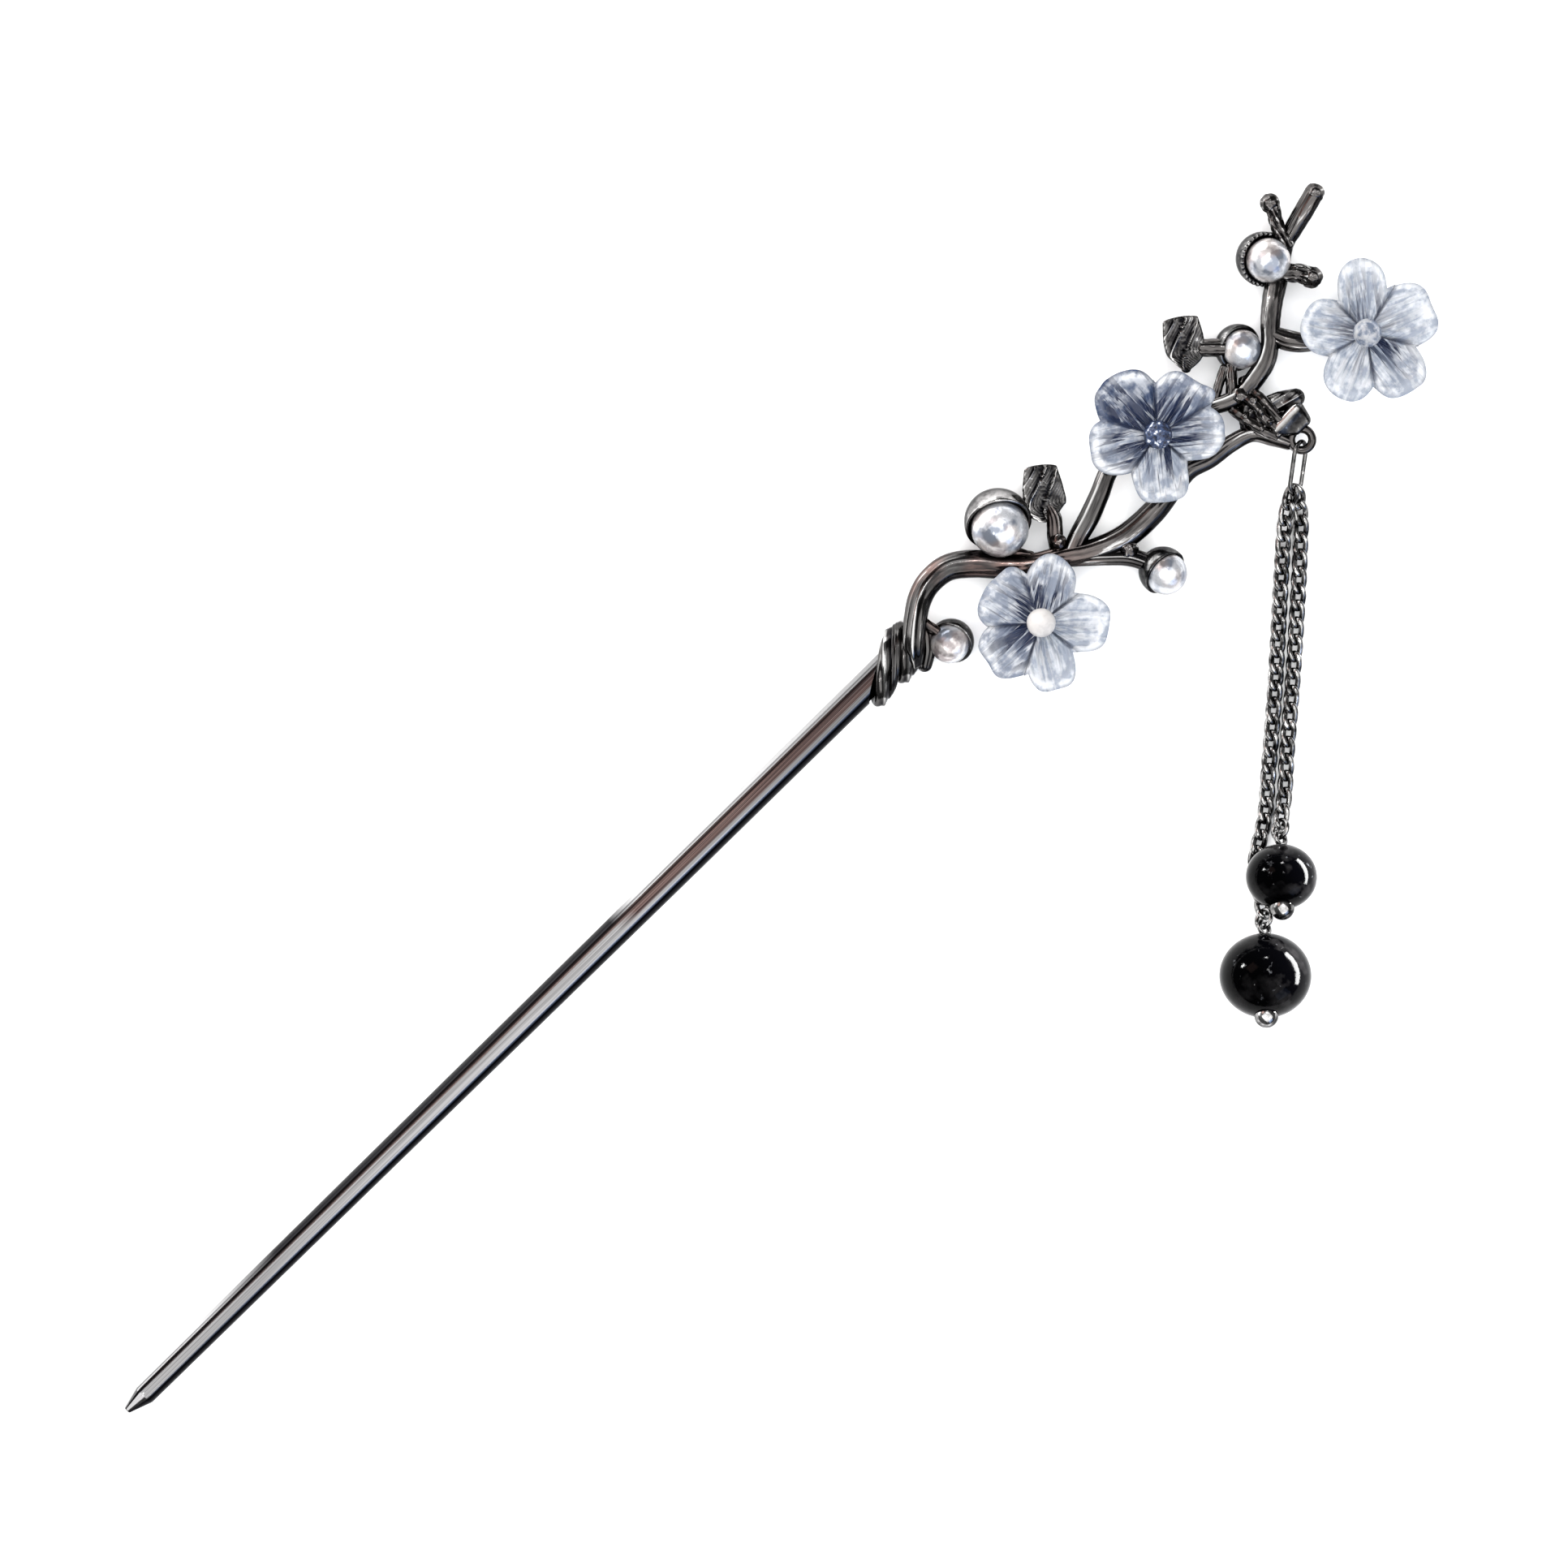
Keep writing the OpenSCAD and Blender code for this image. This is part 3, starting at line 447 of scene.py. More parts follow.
def metal(name, dark, middling, light, rough, streaked=False, bump_mm=0.006, side=1.0, edge=(0.42, 0.18)):
    """Polished plate in streaks or clouds, bright where it is raised, with painted highlights, and black with
    painted shade in clefts, on its far side and on down-turned rims.

    Streaked plate is rosy on the arch. side says how black the painted shade on the far side is, and edge
    where painted shade turns a rim black.
    """
    finish = Finish(name, Metallic=1.0)
    if streaked:
        along, co, si = finish.attributes("along", "co", "si")
        pattern = finish.drawn(along * 0.16, co * 1.7, si * 1.7, 4, 0.6, 0.3)
        x = finish.part("TexCoord", "Object", "X")
        on_arch = x.spread(ARCH_FROM - 3 * MM, ARCH_FROM) * x.spread(ARCH_TO + 8 * MM, ARCH_TO, 0.1, 1.0)
        rosy = finish.grain(5, 1).spread(0.34, 0.5) * on_arch
        middling = finish.mix(rosy, middling, tuple(np.multiply(middling, WARM)))
    else:
        pattern = finish.grain(1.1, 4, 0.6)
    fine = finish.grain(0.35, 3, 0.6)
    high = finish.attributes("high")[0]
    across, upward = (finish.part("NewGeometry", "Normal", axis) for axis in "YZ")
    cleft = finish.node("AmbientOcclusion", {"Distance": 0.9 * MM}, "AO", samples=6, only_local=True)
    shade = finish.layers(
        dark,
        (pattern.spread(0.36, 0.56), middling),
        # The brightest streaks and specks are painted highlights
        (pattern.spread(0.6, 0.68), light),
        # Raised relief is painted light: worn polish on ribs and bumps, and a painted highlight along the
        # crests
        (high.spread(0.04, 0.16), light),
        (high.spread(-0.03, -0.16), BLACK),
        # Painted shade: black on the side away from the lights, on down-turned rims and in clefts
        (across.spread(-0.8, -0.35, side, 0.0), BLACK),
        (upward.spread(*edge, 0.0, 0.9 * side), BLACK),
        (cleft.spread(0.6, 0.1), BLACK),
    )
    roughness = (pattern + fine).spread(0.7, 1.3, rough * 0.7, rough * 1.3)
    finish.look(Base_Color=shade, Roughness=roughness, Specular_Tint=(0.6, 0.6, 0.6))
    finish.bump(fine, bump_mm * MM)
    return finish.material


# Each metal: its dark, middling and light shade, and its roughness
gunmetal = metal("gunmetal", (0.022, 0.021, 0.021), (0.09, 0.087, 0.085), (0.46, 0.455, 0.45), 0.16, True)
cast_metal = metal("cast_metal", (0.024, 0.023, 0.023), (0.095, 0.092, 0.09), (0.5, 0.49, 0.48), 0.2)
# The arch cup's plating, painted lighter for the reflections in its bowl; the other cups take dark_dish
arch_dish_painted_reflection = metal(
    "arch_dish_painted_reflection", (0.14, 0.137, 0.136), (0.38, 0.37, 0.366), (0.75, 0.74, 0.74), 0.2, edge=(0.66, 0.3)
)
dark_dish = metal(
    "dark_dish", (0.03, 0.03, 0.03), (0.17, 0.168, 0.166), (0.6, 0.59, 0.59), 0.18, edge=(0.6, 0.28)
)
findings = metal(
    "findings", (0.02, 0.02, 0.02), (0.33, 0.326, 0.322), (0.85, 0.84, 0.83), 0.16, bump_mm=0.003, side=0.8
)
oval_metal = metal(
    "oval_metal", (0.02, 0.02, 0.02), (0.15, 0.147, 0.145), (0.6, 0.59, 0.58), 0.16, bump_mm=0.003, side=0.8
)


def stick_plate():
    """The stick's plate, with light and shade painted in bands along it: a black lower flank of painted
    shade, a pale band, a thin dark line, and an upper flank with painted highlights at its ends.

    Toward the wrap the pale band turns to a rosy brown, a painted reflection. Round the stick, co is 1 at its
    right flank.
    """
    finish = Finish("stick_metal", Metallic=1.0)
    along, co, si = finish.attributes("along", "co", "si")
    lines = finish.drawn(along * 0.03, co * 7, si * 7, 3, 0.55)
    hair = finish.drawn(along * 0.03, co * 15, si * 7, 2)
    # The rosy band is a painted reflection, with paler painted streaks in it
    rosy = finish.layers(
        (0.014, 0.011, 0.011),
        (hair.spread(0.38, 0.52), (0.085, 0.055, 0.05)),
        (hair.spread(0.56, 0.66), (0.2, 0.155, 0.145)),
    )
    # Painted shade darkens the upper flank in the middle stretch
    painted_upper_flank_shade = along.spread(12, 24) * along.spread(80, 76) * co.spread(-0.4, -0.48, 0.0, 0.96)
    shade = finish.layers(
        (0.12, 0.118, 0.119),
        (lines.spread(0.35, 0.65), (0.24, 0.236, 0.238)),
        (co.spread(-0.36, -0.22) * co.spread(0.27, 0.15) * along.spread(76, 79), rosy),
        # The thin dark line is a painted dark reflection
        (co.spread(-0.56, -0.46) * co.spread(-0.28, -0.38) * 0.9, BLACK),
        # Painted shade greys the upper flank, and a painted highlight lights its rim
        (co.spread(-0.56, -0.66), (0.1, 0.099, 0.1)),
        (co.spread(-0.7, -0.78), (0.5, 0.497, 0.5)),
        (painted_upper_flank_shade, BLACK),
        # Painted shade blackens the lower flank and darkens the stick toward the wrap
        (co.spread(0.46, 0.58), BLACK),
        (along.spread(94, 120, 0.0, 0.6), BLACK),
    )
    finish.look(Base_Color=shade, Roughness=lines.spread(0.3, 0.7, 0.1, 0.2), Specular_Tint=(0.7, 0.7, 0.7))
    return finish.material


def petal_glass():
    """Moulded glass with a milky body, ink-blue streaks that run out from the middle, painted shade in the
    valleys between petals, and a rim drawn with a painted highlight just inside it and a painted dark
    outline.
    """
    finish = Finish("petal_glass", Roughness=0.1, IOR=1.35, Transmission_Weight=0.2)
    across, out, ink, share, gap = finish.attributes(*PETAL_VALUES)
    streaks = finish.drawn(across * 4.4, out * 1.1, 0, 3, 0.55, 0.5)
    hairs = finish.drawn(across * 10, out * 1.2, 0, 2)
    clouds = finish.grain(1.5, 3, 0.55)
    wash = ink.spread(1.0, 2.0) * clouds.spread(0.4, 0.6, 1.0, 0.4)
    painted_rim_highlight = share.spread(0.76, 0.88) * share.spread(0.99, 0.93) * clouds.spread(0.42, 0.6, 0.1, 0.9)
    streak = streaks.spread(0.5, 0.55) * share.spread(0.1, 0.9, 1.0, 0.15) * ink
    root = hairs.spread(0.5, 0.55) * share.spread(0.25, 0.75, 0.75, 0.0) * ink
    valley = gap.spread(0.09, 0.02) * share.spread(0.95, 0.6, 0.2, 0.9) * ink.spread(0.4, 1.6, 0.75, 1.1)
    rim = share.spread(0.94, 1.0) * clouds.spread(0.45, 0.6, 0.0, 0.6)
    finish.look(Base_Color=finish.layers(
        (0.33, 0.37, 0.44),
        ((streaks + clouds).spread(0.88, 1.12), (0.7, 0.725, 0.76)),
        (wash, (0.05, 0.075, 0.145)),
        # A painted highlight just inside the rim
        (painted_rim_highlight, (0.84, 0.86, 0.89)),
        ((streak * clouds.spread(0.3, 0.7, 0.8, 1.8)).clamped(), (0.014, 0.022, 0.055)),
        (root.clamped(), (0.02, 0.03, 0.07)),
        # Painted shade in the valleys between petals
        (valley.clamped(), (0.03, 0.042, 0.085)),
        # A painted dark outline along the rim
        (rim, (0.16, 0.18, 0.22)),
    ))
    finish.bump(streaks, 0.3 * MM)
    return finish.material


def clear_glass():
    """The top blossom's heart: clear glass with pale clouds."""
    finish = Finish("clear_glass", Roughness=0.06, IOR=1.5, Transmission_Weight=0.55)
    clouds = finish.grain(0.9, 3, 0.6)
    finish.look(Base_Color=finish.mix(clouds.spread(0.42, 0.62), (0.3, 0.36, 0.48), (0.9, 0.92, 0.96)))
    return finish.material


def milk_glass():
    """The low blossom's heart: warm white glass."""
    finish = Finish("milk_glass", IOR=1.35)
    clouds = finish.grain(1.3)
    shade = finish.mix(clouds.spread(0.3, 0.7), (0.5, 0.48, 0.47), (0.66, 0.64, 0.62))
    finish.look(Base_Color=shade, Roughness=clouds.spread(0.3, 0.7, 0.22, 0.36))
    return finish.material


def ink_glass():
    """The mid blossom's dark heart: ink-blue with painted glints."""
    finish = Finish("ink_glass", Roughness=0.16, IOR=1.4)
    clouds = finish.grain(0.75, 3, 0.6)
    shade = finish.mix(clouds.spread(0.42, 0.56), (0.008, 0.012, 0.03), (0.05, 0.075, 0.15))
    # Pale spots painted as glints
    finish.look(Base_Color=finish.mix(clouds.spread(0.6, 0.64), shade, (0.7, 0.73, 0.8)))
    finish.bump(clouds, 0.3 * MM)
    return finish.material


def pearl():
    """Silvery lacquered pearl with blurred dark and bright patches painted as reflections, faintly rosy and
    blue, with painted shade on its sides and underside.
    """
    finish = Finish("pearl", Metallic=0.5, Coat_Weight=0.2, Coat_Roughness=0.15)
    clouds = finish.grain(1.9, 3)
    hue = finish.mix(finish.grain(2.6, 1).spread(0.42, 0.58), (0.7, 0.52, 0.46), (0.42, 0.52, 0.7))
    shade = finish.layers(
        (0.17, 0.175, 0.19),
        # The dark and bright patches are painted reflections
        (clouds.spread(0.42, 0.53), (0.64, 0.635, 0.63)),
        (0.2, hue),
        # Painted shade on the sides and underside
        (finish.part("NewGeometry", "Normal", "Z").spread(0.4, 0.1, 0.0, 0.85), (0.06, 0.062, 0.07)),
    )
    finish.look(Base_Color=shade, Roughness=clouds.spread(0.3, 0.7, 0.18, 0.3), Specular_Tint=(0.6, 0.6, 0.6))
    finish.bump(clouds, 0.2 * MM, 0.8)
    return finish.material


def black_bead():
    """Polished black stone with faint grey clouds and pits."""
    finish = Finish("black_bead", IOR=1.13)
    clouds = finish.grain(2.6, 5, 0.65, 0.8)
    specks = finish.grain(0.55, 3, 0.6)
    shade = finish.layers(
        (0.0003, 0.0003, 0.0005),
        (finish.grain(3.4, 3, 0.6).spread(0.52, 0.72), (0.012, 0.0115, 0.012)),
        (clouds.spread(0.58, 0.68) * specks.spread(0.56, 0.62), (0.09, 0.093, 0.1)),
    )
    finish.look(Base_Color=shade, Roughness=specks.spread(0.4, 0.65, 0.04, 0.12))
    finish.bump(specks, 0.02 * MM, 0.6)
    return finish.material


# THE STICK

WRAP_FROM, WRAP_TO = radians(-150), radians(410)

# The shallow line along the stick's top: its place round the stick, its width there and its depth
LINE_AT, LINE_W = radians(113), 0.07
LINE_DEEP = 0.04


def strap_x(turn):
    """How far along the stick the wrap's strap is from the wrap's middle, at an angle of its winding."""
    return WRAP_PITCH * (turn - pi) / (2 * pi) + WRAP_LEAN * wrap_r * np.sin(turn)


def make_stick():
    """The polished stick with its conical point and its stepped root inside the wrap."""
    cap = 0.35
    u = np.concatenate([
        np.linspace(cap * BLUNT_D / 2, POINT_L, 12)[:-1], np.linspace(POINT_L, step_at, 220),
        np.linspace(step_at + 0.02, shaft_l - 0.8, 80),
    ])
    r = np.interp(
        u, [0, POINT_L, step_at - STRAIGHT_L, step_at, step_at + 0.02, shaft_l],
        [BLUNT_D / 2, TIP_D / 2, SHAFT_D / 2, SHAFT_D / 2, root_r, root_r],
    )
    path = np.stack([u, 0 * u, 0 * u], axis=1)

    def relief(along, angle, across):
        """A shallow line along the top, and the full thickness kept up to the first turn of the wrap."""
        u = along + cap * BLUNT_D / 2
        grown = np.clip((u - POINT_L) / 6, 0, 1) * np.clip((step_at - 1 - u) / 3, 0, 1)
        line = -LINE_DEEP * grown * bell(angle - LINE_AT, LINE_W)
        first = (angle - pi / 2 - WRAP_FROM) % (2 * pi) + WRAP_FROM
        slope = WRAP_PITCH / (2 * pi * wrap_r) + WRAP_LEAN * np.cos(first)
        edge = WRAP_AT + strap_x(first) - STEM_D / 2 * np.sqrt(1 + slope**2)
        swell = ROOT_STEP * np.clip((edge - 0.1 - u) / 0.25, 0, 1) * (u > step_at + 0.01)
        return line + swell

    skin = Skin()
    tube(skin, path, r, sides=96, relief=relief, rounding=cap)
    return make_piece("stick", skin, stick_plate(), 35, on_stick, stands_for=["shaft"])


# THE BRANCH. Rows are [across %, up %, height share, thickness share], as in the CAD source

ARCH = [
    [2.3, 2.6, 0.85, 1], [2.7, 7.3, 0.8, 1], [3.5, 11.4, 0.55, 1.05], [5.3, 15, 0.35, 1.1],
    [8.7, 18, 0.2, 1.15], [13.5, 18.8, 0.1, 1.2], [19.5, 18.3, 0.05, 1.1], [24.8, 18.7, 0, 1],
    [30, 20.3, 0, 1], [35.3, 21.6, 0, 1], [41.3, 24.6, 0, 1.08], [46.5, 29.8, 0, 1.05],
    [50.3, 35.3, 0, 0.95], [53.1, 38.8, 0, 0.85], [57, 41, 0, 0.75], [60.8, 44.3, 0, 0.75],
    [64.7, 46.4, 0, 0.7], [68.6, 45.6, 0, 0.75], [71.3, 44.5, -0.1, 0.6],
]
THIN_STEM = [
    [31.2, 20.9, 0, 0.75], [32.7, 24.6, 0, 0.85], [34.7, 28.7, 0, 0.9], [36.6, 33.6, 0, 0.85],
    [38.4, 38.6, 0, 0.8], [42, 42.9, 0, 0.75], [48, 46.2, 0, 0.75], [52.8, 49.5, 0, 0.7],
    [57, 51.9, 0, 0.7], [60, 53.1, 0, 0.75], [62.6, 54.5, 0, 0.8],
]
TOP_STEM = [
    [62.6, 54.5, 0, 0.8], [65, 57.8, 0, 0.85], [67.1, 61.6, 0, 0.85], [68, 65.6, 0, 0.8],
    [68, 69.9, 0, 0.85], [68.4, 74.3, -0.05, 0.9], [69.2, 79, -0.3, 0.95], [69.9, 82.4, -0.45, 0.85],
    [70.8, 86.9, -0.3, 0.75], [72.3, 90, -0.1, 0.8], [74, 93.4, 0, 0.85], [76.1, 97.5, 0, 0.85],
]
BLOSSOM_TWIG = [
    [68, 67.9, 0, 0.7], [70.5, 66.5, 0, 0.9], [73.5, 65.8, 0, 0.85], [76.2, 65.6, 0, 0.6],
    [81, 66.5, 0, 0.42], [85.5, 67.5, 0, 0.42],
]
LOW_TWIG = [[29, 19.9, 0, 0.75], [37.5, 20.3, 0, 0.75], [42.3, 20.2, 0, 0.8], [46.6, 18.5, 0, 0.75]]
LEAF_STALK = [[29.4, 20.8, 0, 0.75], [28.5, 24.1, 0, 0.7], [28.2, 28.5, 0.05, 0.65], [27, 31.5, 0.05, 0.4]]
SIDE_STALK = [[60, 64.7, 0, 0.8], [55.2, 64.7, 0, 0.75]]
KNOT_STRAND = [[60.9, 53.2, 0, 0.55], [60.9, 57, 0, 0.5], [60.9, 61, -0.1, 0.5]]
SIDE_STRAND = [[57.3, 52.6, 0, 0.42], [58.4, 56.1, 0, 0.4], [59.6, 60.5, -0.1, 0.42]]
HIDDEN_ARM = [[22.8, 18, 0, 0.45], [24, 11.9, 0, 0.45], [25.7, 6.2, 0, 0.45]]
ROOT_BRIDGE = [[4.2, 6.4, 0.5, 0.45], [6.6, 4.4, 0.35, 0.45]]
CURL_TWIG = [[71, 86.2, 0, 0.6], [69.6, 90, 0.05, 0.6], [68.7, 93.1, 0.05, 0.6], [68, 95.2, 0.05, 0.7]]
CUT_TWIG = [[69.5, 80.7, 0, 0.75], [73, 80.5, 0, 0.8], [75.4, 79.7, 0, 0.85]]
STRAP_END = [[2.7, 6.2, 0.15, 0.65], [4.3, 4.5, 0, 0.8], [4.8, 0.7, -0.1, 0.75], [4.4, -2.6, -0.15, 0.65]]
CRADLE = [[14, 20, 0.05, 0.55], [17, 21, -0.1, 0.65], [20.5, 21, -0.1, 0.6], [24, 20.2, 0, 0.5]]
KNOBS = [
    [76.1, 97.5, 0.03, 0.86], [67.9, 95.4, 0.05, 0.86], [75.6, 79.7, 0, 0.94], [41.9, 21.8, 0.1, 0.9],
    [28.9, 23.4, 0.15, 0.76], [62.6, 54.5, 0.05, 0.92], [63.3, 57.4, -0.1, 0.58],
]
KNOB_ROUGH = 0.14
KNOT = [
    [63.2, 53.2, 0, 0.7], [66, 52.2, 0.1, 0.85], [67.6, 49.4, 0.1, 0.9], [67.2, 46.6, 0, 0.75],
    [64, 46.6, 0, 0.7],
]
BUD_UPPER = [[67, 52.2, 0.1, 0.8], [69.7, 53.6, 0.15, 0.75], [72.7, 54.1, 0.15, 0.8]]
BUD_LOWER = [
    [69.4, 47.2, 0.15, 0.7], [72.8, 51.4, 0.2, 0.75], [74.1, 49.4, 0.1, 0.65], [72.6, 47.4, 0.1, 0.55],
]
BUD_WEB = [[67.5, 50, -0.1, 0.5], [72, 52.7, -0.1, 0.4], [70, 48.5, -0.1, 0.5]]

# Strands and bumps over the knot: rows as above
TANGLE = [
    [[61.8, 55.2, 0.1, 0.42], [64.4, 53.2, 0.32, 0.48], [66.8, 50, 0.38, 0.5], [69.3, 47.2, 0.25, 0.45]],
    [[61, 51.6, 0.1, 0.42], [63.4, 49.4, 0.28, 0.46], [66, 47.4, 0.34, 0.5], [69, 45.6, 0.15, 0.45]],
    [[64.4, 55.8, 0.15, 0.36], [66.6, 53.6, 0.38, 0.42], [68.6, 51, 0.42, 0.42], [70.2, 48.6, 0.28, 0.36]],
]
BUMPS = [
    [64.9, 53.6, 0.5, 0.32], [66.2, 50.8, 0.58, 0.3], [63.4, 50.2, 0.4, 0.3], [67.9, 48.8, 0.52, 0.34],
    [66.4, 47.2, 0.48, 0.28], [69.4, 46, 0.3, 0.3],
]

# Grooves of a stem: degrees round it, where 90 is straight up, and 0 the side on the right of its way
GROOVES = {"wide": (66, 124, 250), "thin": (62, 112, 230), "strand": (90,)}
GROOVE_W = 0.13
CREST_W = 0.16


def grooves(kind, depth, turn, wander):
    """Relief of lengthwise grooves that turn and wander a little along a stem."""

    def relief(along, angle, across):
        total = 0
        for k, start in enumerate(GROOVES[kind]):
            at = radians(start) + turn * along + wander * np.sin(along * 0.35 + k * 2.1)
            off = (angle - at + pi) % (2 * pi) - pi
            total = total - depth * bell(off, GROOVE_W)
        return total

    return relief


def stem(
    skin, rows, kind="thin", depth=0.07, turn=0.02, wander=0.06, steps=14, sides=56, rounding=0.6, rough=0.0,
    crest=None,
):
    """One stem with its grooves, an uneven bark skin, and a crest: [angle, height, reach along it]. The metal
    paints the crest's rise light, as a painted highlight.
    """
    path = smooth([[*place(row), row[3] * STEM_D / 2] for row in rows], steps)
    grooved = grooves(kind, depth, turn, wander)

    def relief(along, angle, across):
        wave = np.sin(along * 3.3 + 2 * np.sin(2 * angle))
        wave = wave * np.sin(3 * angle + along * 1.9 + np.sin(along * 0.7))
        total = grooved(along, angle, across) + rough * wave
        if crest is not None:
            off = angle - radians(crest[0])
            total = total + crest[1] * bell(off, CREST_W) * bell(along, crest[2], 4)
        return total

    tube(skin, path[:, :3], path[:, 3], sides=sides, relief=relief, rounding=rounding)


def knob(skin, row):
    """A round end or bark bump with an uneven skin."""
    r = row[3] * STEM_D / 2
    at = place(row)
    phi = np.linspace(0, pi, 21)
    profile = [(r * sin(p), -r * cos(p)) for p in phi]

    def relief(radius, height, angle):
        spots = [Vector((radius * cos(a) * 2, radius * sin(a) * 2, height * 2 + at[0])) for a in angle]
        return np.array([KNOB_ROUGH * noise.noise(spot) for spot in spots])

    lathe(skin, profile, Matrix.Translation(at), 36, relief)


# The arch's foot runs on over the wrap and sinks into it
ARCH_FOOT = [[2.5, -1.6, 0.45, 0.75], [2.3, 0.2, 0.75, 0.92]]


def make_stems():
    skin = Skin()
    stem(skin, ARCH_FOOT + ARCH, "wide", depth=0.08, turn=0.012, wander=0.05, rounding=1, crest=(96, 0.16, 9))
    stem(skin, THIN_STEM, depth=0.08, wander=0.1, crest=(118, 0.22, 40))
    stem(skin, TOP_STEM, depth=0.08, turn=0.03, wander=0.15, rough=0.02, crest=(122, 0.2, 15))
    stem(skin, BLOSSOM_TWIG, depth=0.08)
    stem(skin, LOW_TWIG, depth=0.09, crest=(84, 0.1, 40))
    stem(skin, LEAF_STALK, rough=0.03)
    stem(skin, SIDE_STALK, rough=0.04)
    stem(skin, CURL_TWIG, depth=0.12, turn=0.3, wander=0.2, rough=0.12)
    stem(skin, CUT_TWIG, depth=0.12, rough=0.12)
    stem(skin, STRAP_END, depth=0.09, rounding=1)
    for rows in (KNOT_STRAND, SIDE_STRAND, HIDDEN_ARM, ROOT_BRIDGE, CRADLE):
        stem(skin, rows, "strand", depth=0.05, rough=0.05)
    for rows in TANGLE:
        stem(skin, rows, "strand", turn=0.2, sides=32, steps=10, rough=0.06)
    for row in KNOBS + BUMPS:
        knob(skin, row)
    make_piece("stems", skin, gunmetal, 50)


def make_wrap():
    """The flattened strand that is wound round the stick's root."""
    skin = Skin()
    step = radians(3)
    turns = np.arange(WRAP_FROM, WRAP_TO + step / 30, step)
    path = np.stack([strap_x(turns), wrap_r * np.sin(turns), wrap_r * np.cos(turns)], axis=-1)

    def relief(along, angle, across):
        """A ridge along the strand that the metal paints light as a highlight, with a groove beside it and
        two finer ones.
        """
        outside = np.clip(np.sin(angle), 0, 1)
        fine = bell(across - 0.62, 0.08) + bell(across - 0.95, 0.08)
        return outside * (0.22 * bell(across + 0.5, 0.2) - 0.2 * bell(across - 0.18, 0.12) - 0.1 * fine)

    out = np.stack([0 * turns, np.sin(turns), np.cos(turns)], axis=-1)
    ends = np.clip(np.minimum(turns - turns[0], turns[-1] - turns) / 0.5, 0, 1)
    narrow = 0.55 + 0.45 * np.sqrt(ends)
    tube(skin, path, narrow * STEM_D / 2, narrow * WRAP_T / 2, 64, relief, up=out, power=0.9)
    make_piece("wrap", skin, gunmetal, 50, on_branch @ Matrix.Rotation(SPRAY_TURN, 4, "Z"))


# Leaves: the left and right edges from the tip to the stalk, and ribs as (start across, end across, height)
LEAF_LOW = (
    [[23.2, 38.6, 0.25], [22.9, 34.5, 0.12], [23.6, 30.4, 0.02], [27.4, 27.9, 0]],
    [[28.2, 39.6, 0.4], [29.4, 35, 0.3], [30, 30.8, 0.15], [28.2, 28.2, 0]],
)
LEAF_SIDE = (
    [[48.6, 70.2, 0.25], [48.8, 66, 0.1], [49.8, 62.4, 0], [52.2, 60, 0]],
    [[54.2, 70.9, 0.35], [55.2, 67, 0.25], [55.2, 63.4, 0.1], [52.9, 60.2, 0]],
)
LEAF_EDGE = 0.3
RIBS = [(-1.0, 0.5, 0.2), (-0.35, 1.35, 0.24), (0.3, 2.1, 0.16)]


def make_leaf(name, edges):
    """A cupped leaf with raised slanting veins and a rolled edge."""
    skin = Skin()
    left = smooth([place(row) for row in edges[0]], 40)
    right = smooth([place(row) for row in edges[1]], 40)
    middle = (left + right) / 2
    half = np.linalg.norm(right - left, axis=1) / 2
    length = np.linalg.norm(np.diff(middle, axis=0), axis=1).sum()
    up = unit(np.cross(unit(right - left), -headings(middle)))
    up *= np.sign(up[:, 2:])

    def relief(along, angle, across):
        """Veins stand out of the upper side, with a cleft on the right of each, and the blade dips."""
        share = along / length
        width = np.interp(along.ravel(), np.linspace(0, length, len(half)), half)[:, None] + LEAF_EDGE
        x = across / width
        rise = -0.1 * (1 - x**2)
        for start, end, height in RIBS:
            off = (x - start - (end - start) * share) * width
            rise = rise + height * bell(off, 0.12) - 0.1 * bell(off - 0.36, 0.2)
        rise = rise + 0.05 * np.sin(off * 17) + 0.16 * bell(x - 0.9, 0.08)
        return np.clip(np.sin(angle), 0, 1) * rise

    tube(skin, middle, half + LEAF_EDGE, LEAF_T / 2, 160, relief=relief, up=up, power=0.6, rounding=0.9)
    make_piece(name, skin, cast_metal, 60)


LUMP_VOXEL = 0.09


def lump_piece(name, rows, ridge, turns=6):
    """A smooth body over round lumps, relaxed so many times, with low ridges laid over it."""
    hull = bmesh.new()
    for row in rows:
        ball = bmesh.ops.create_icosphere(hull, subdivisions=3, radius=row[3] * STEM_D / 2)
        bmesh.ops.translate(hull, verts=ball["verts"], vec=Vector(place(row)))
    shell = bmesh.ops.convex_hull(hull, input=hull.verts)
    spare = set(shell["geom_interior"] + shell["geom_unused"])
    bmesh.ops.delete(hull, geom=[v for v in spare if isinstance(v, bmesh.types.BMVert)], context="VERTS")
    mesh = bpy.data.meshes.new(name)
    hull.to_mesh(mesh)
    hull.free()
    made = add_object(name, mesh)
    remesh = made.modifiers.new("remesh", "REMESH")
    remesh.mode = "VOXEL"
    remesh.voxel_size = LUMP_VOXEL
    relax = made.modifiers.new("relax", "SMOOTH")
    relax.factor, relax.iterations = 0.5, turns
    shaped = bpy.data.meshes.new_from_object(made.evaluated_get(bpy.context.evaluated_depsgraph_get()))
    bpy.data.objects.remove(made)
    points = np.array([v.co for v in shaped.vertices])
    normals = np.array([v.normal for v in shaped.vertices])
    high = ridge(points, normals)[:, None]
    skin = Skin()
    values = np.hstack([np.zeros((len(points), 3)), high])
    skin.add(points + normals * high, [tuple(p.vertices) for p in shaped.polygons], values)
    make_piece(name, skin, cast_metal)


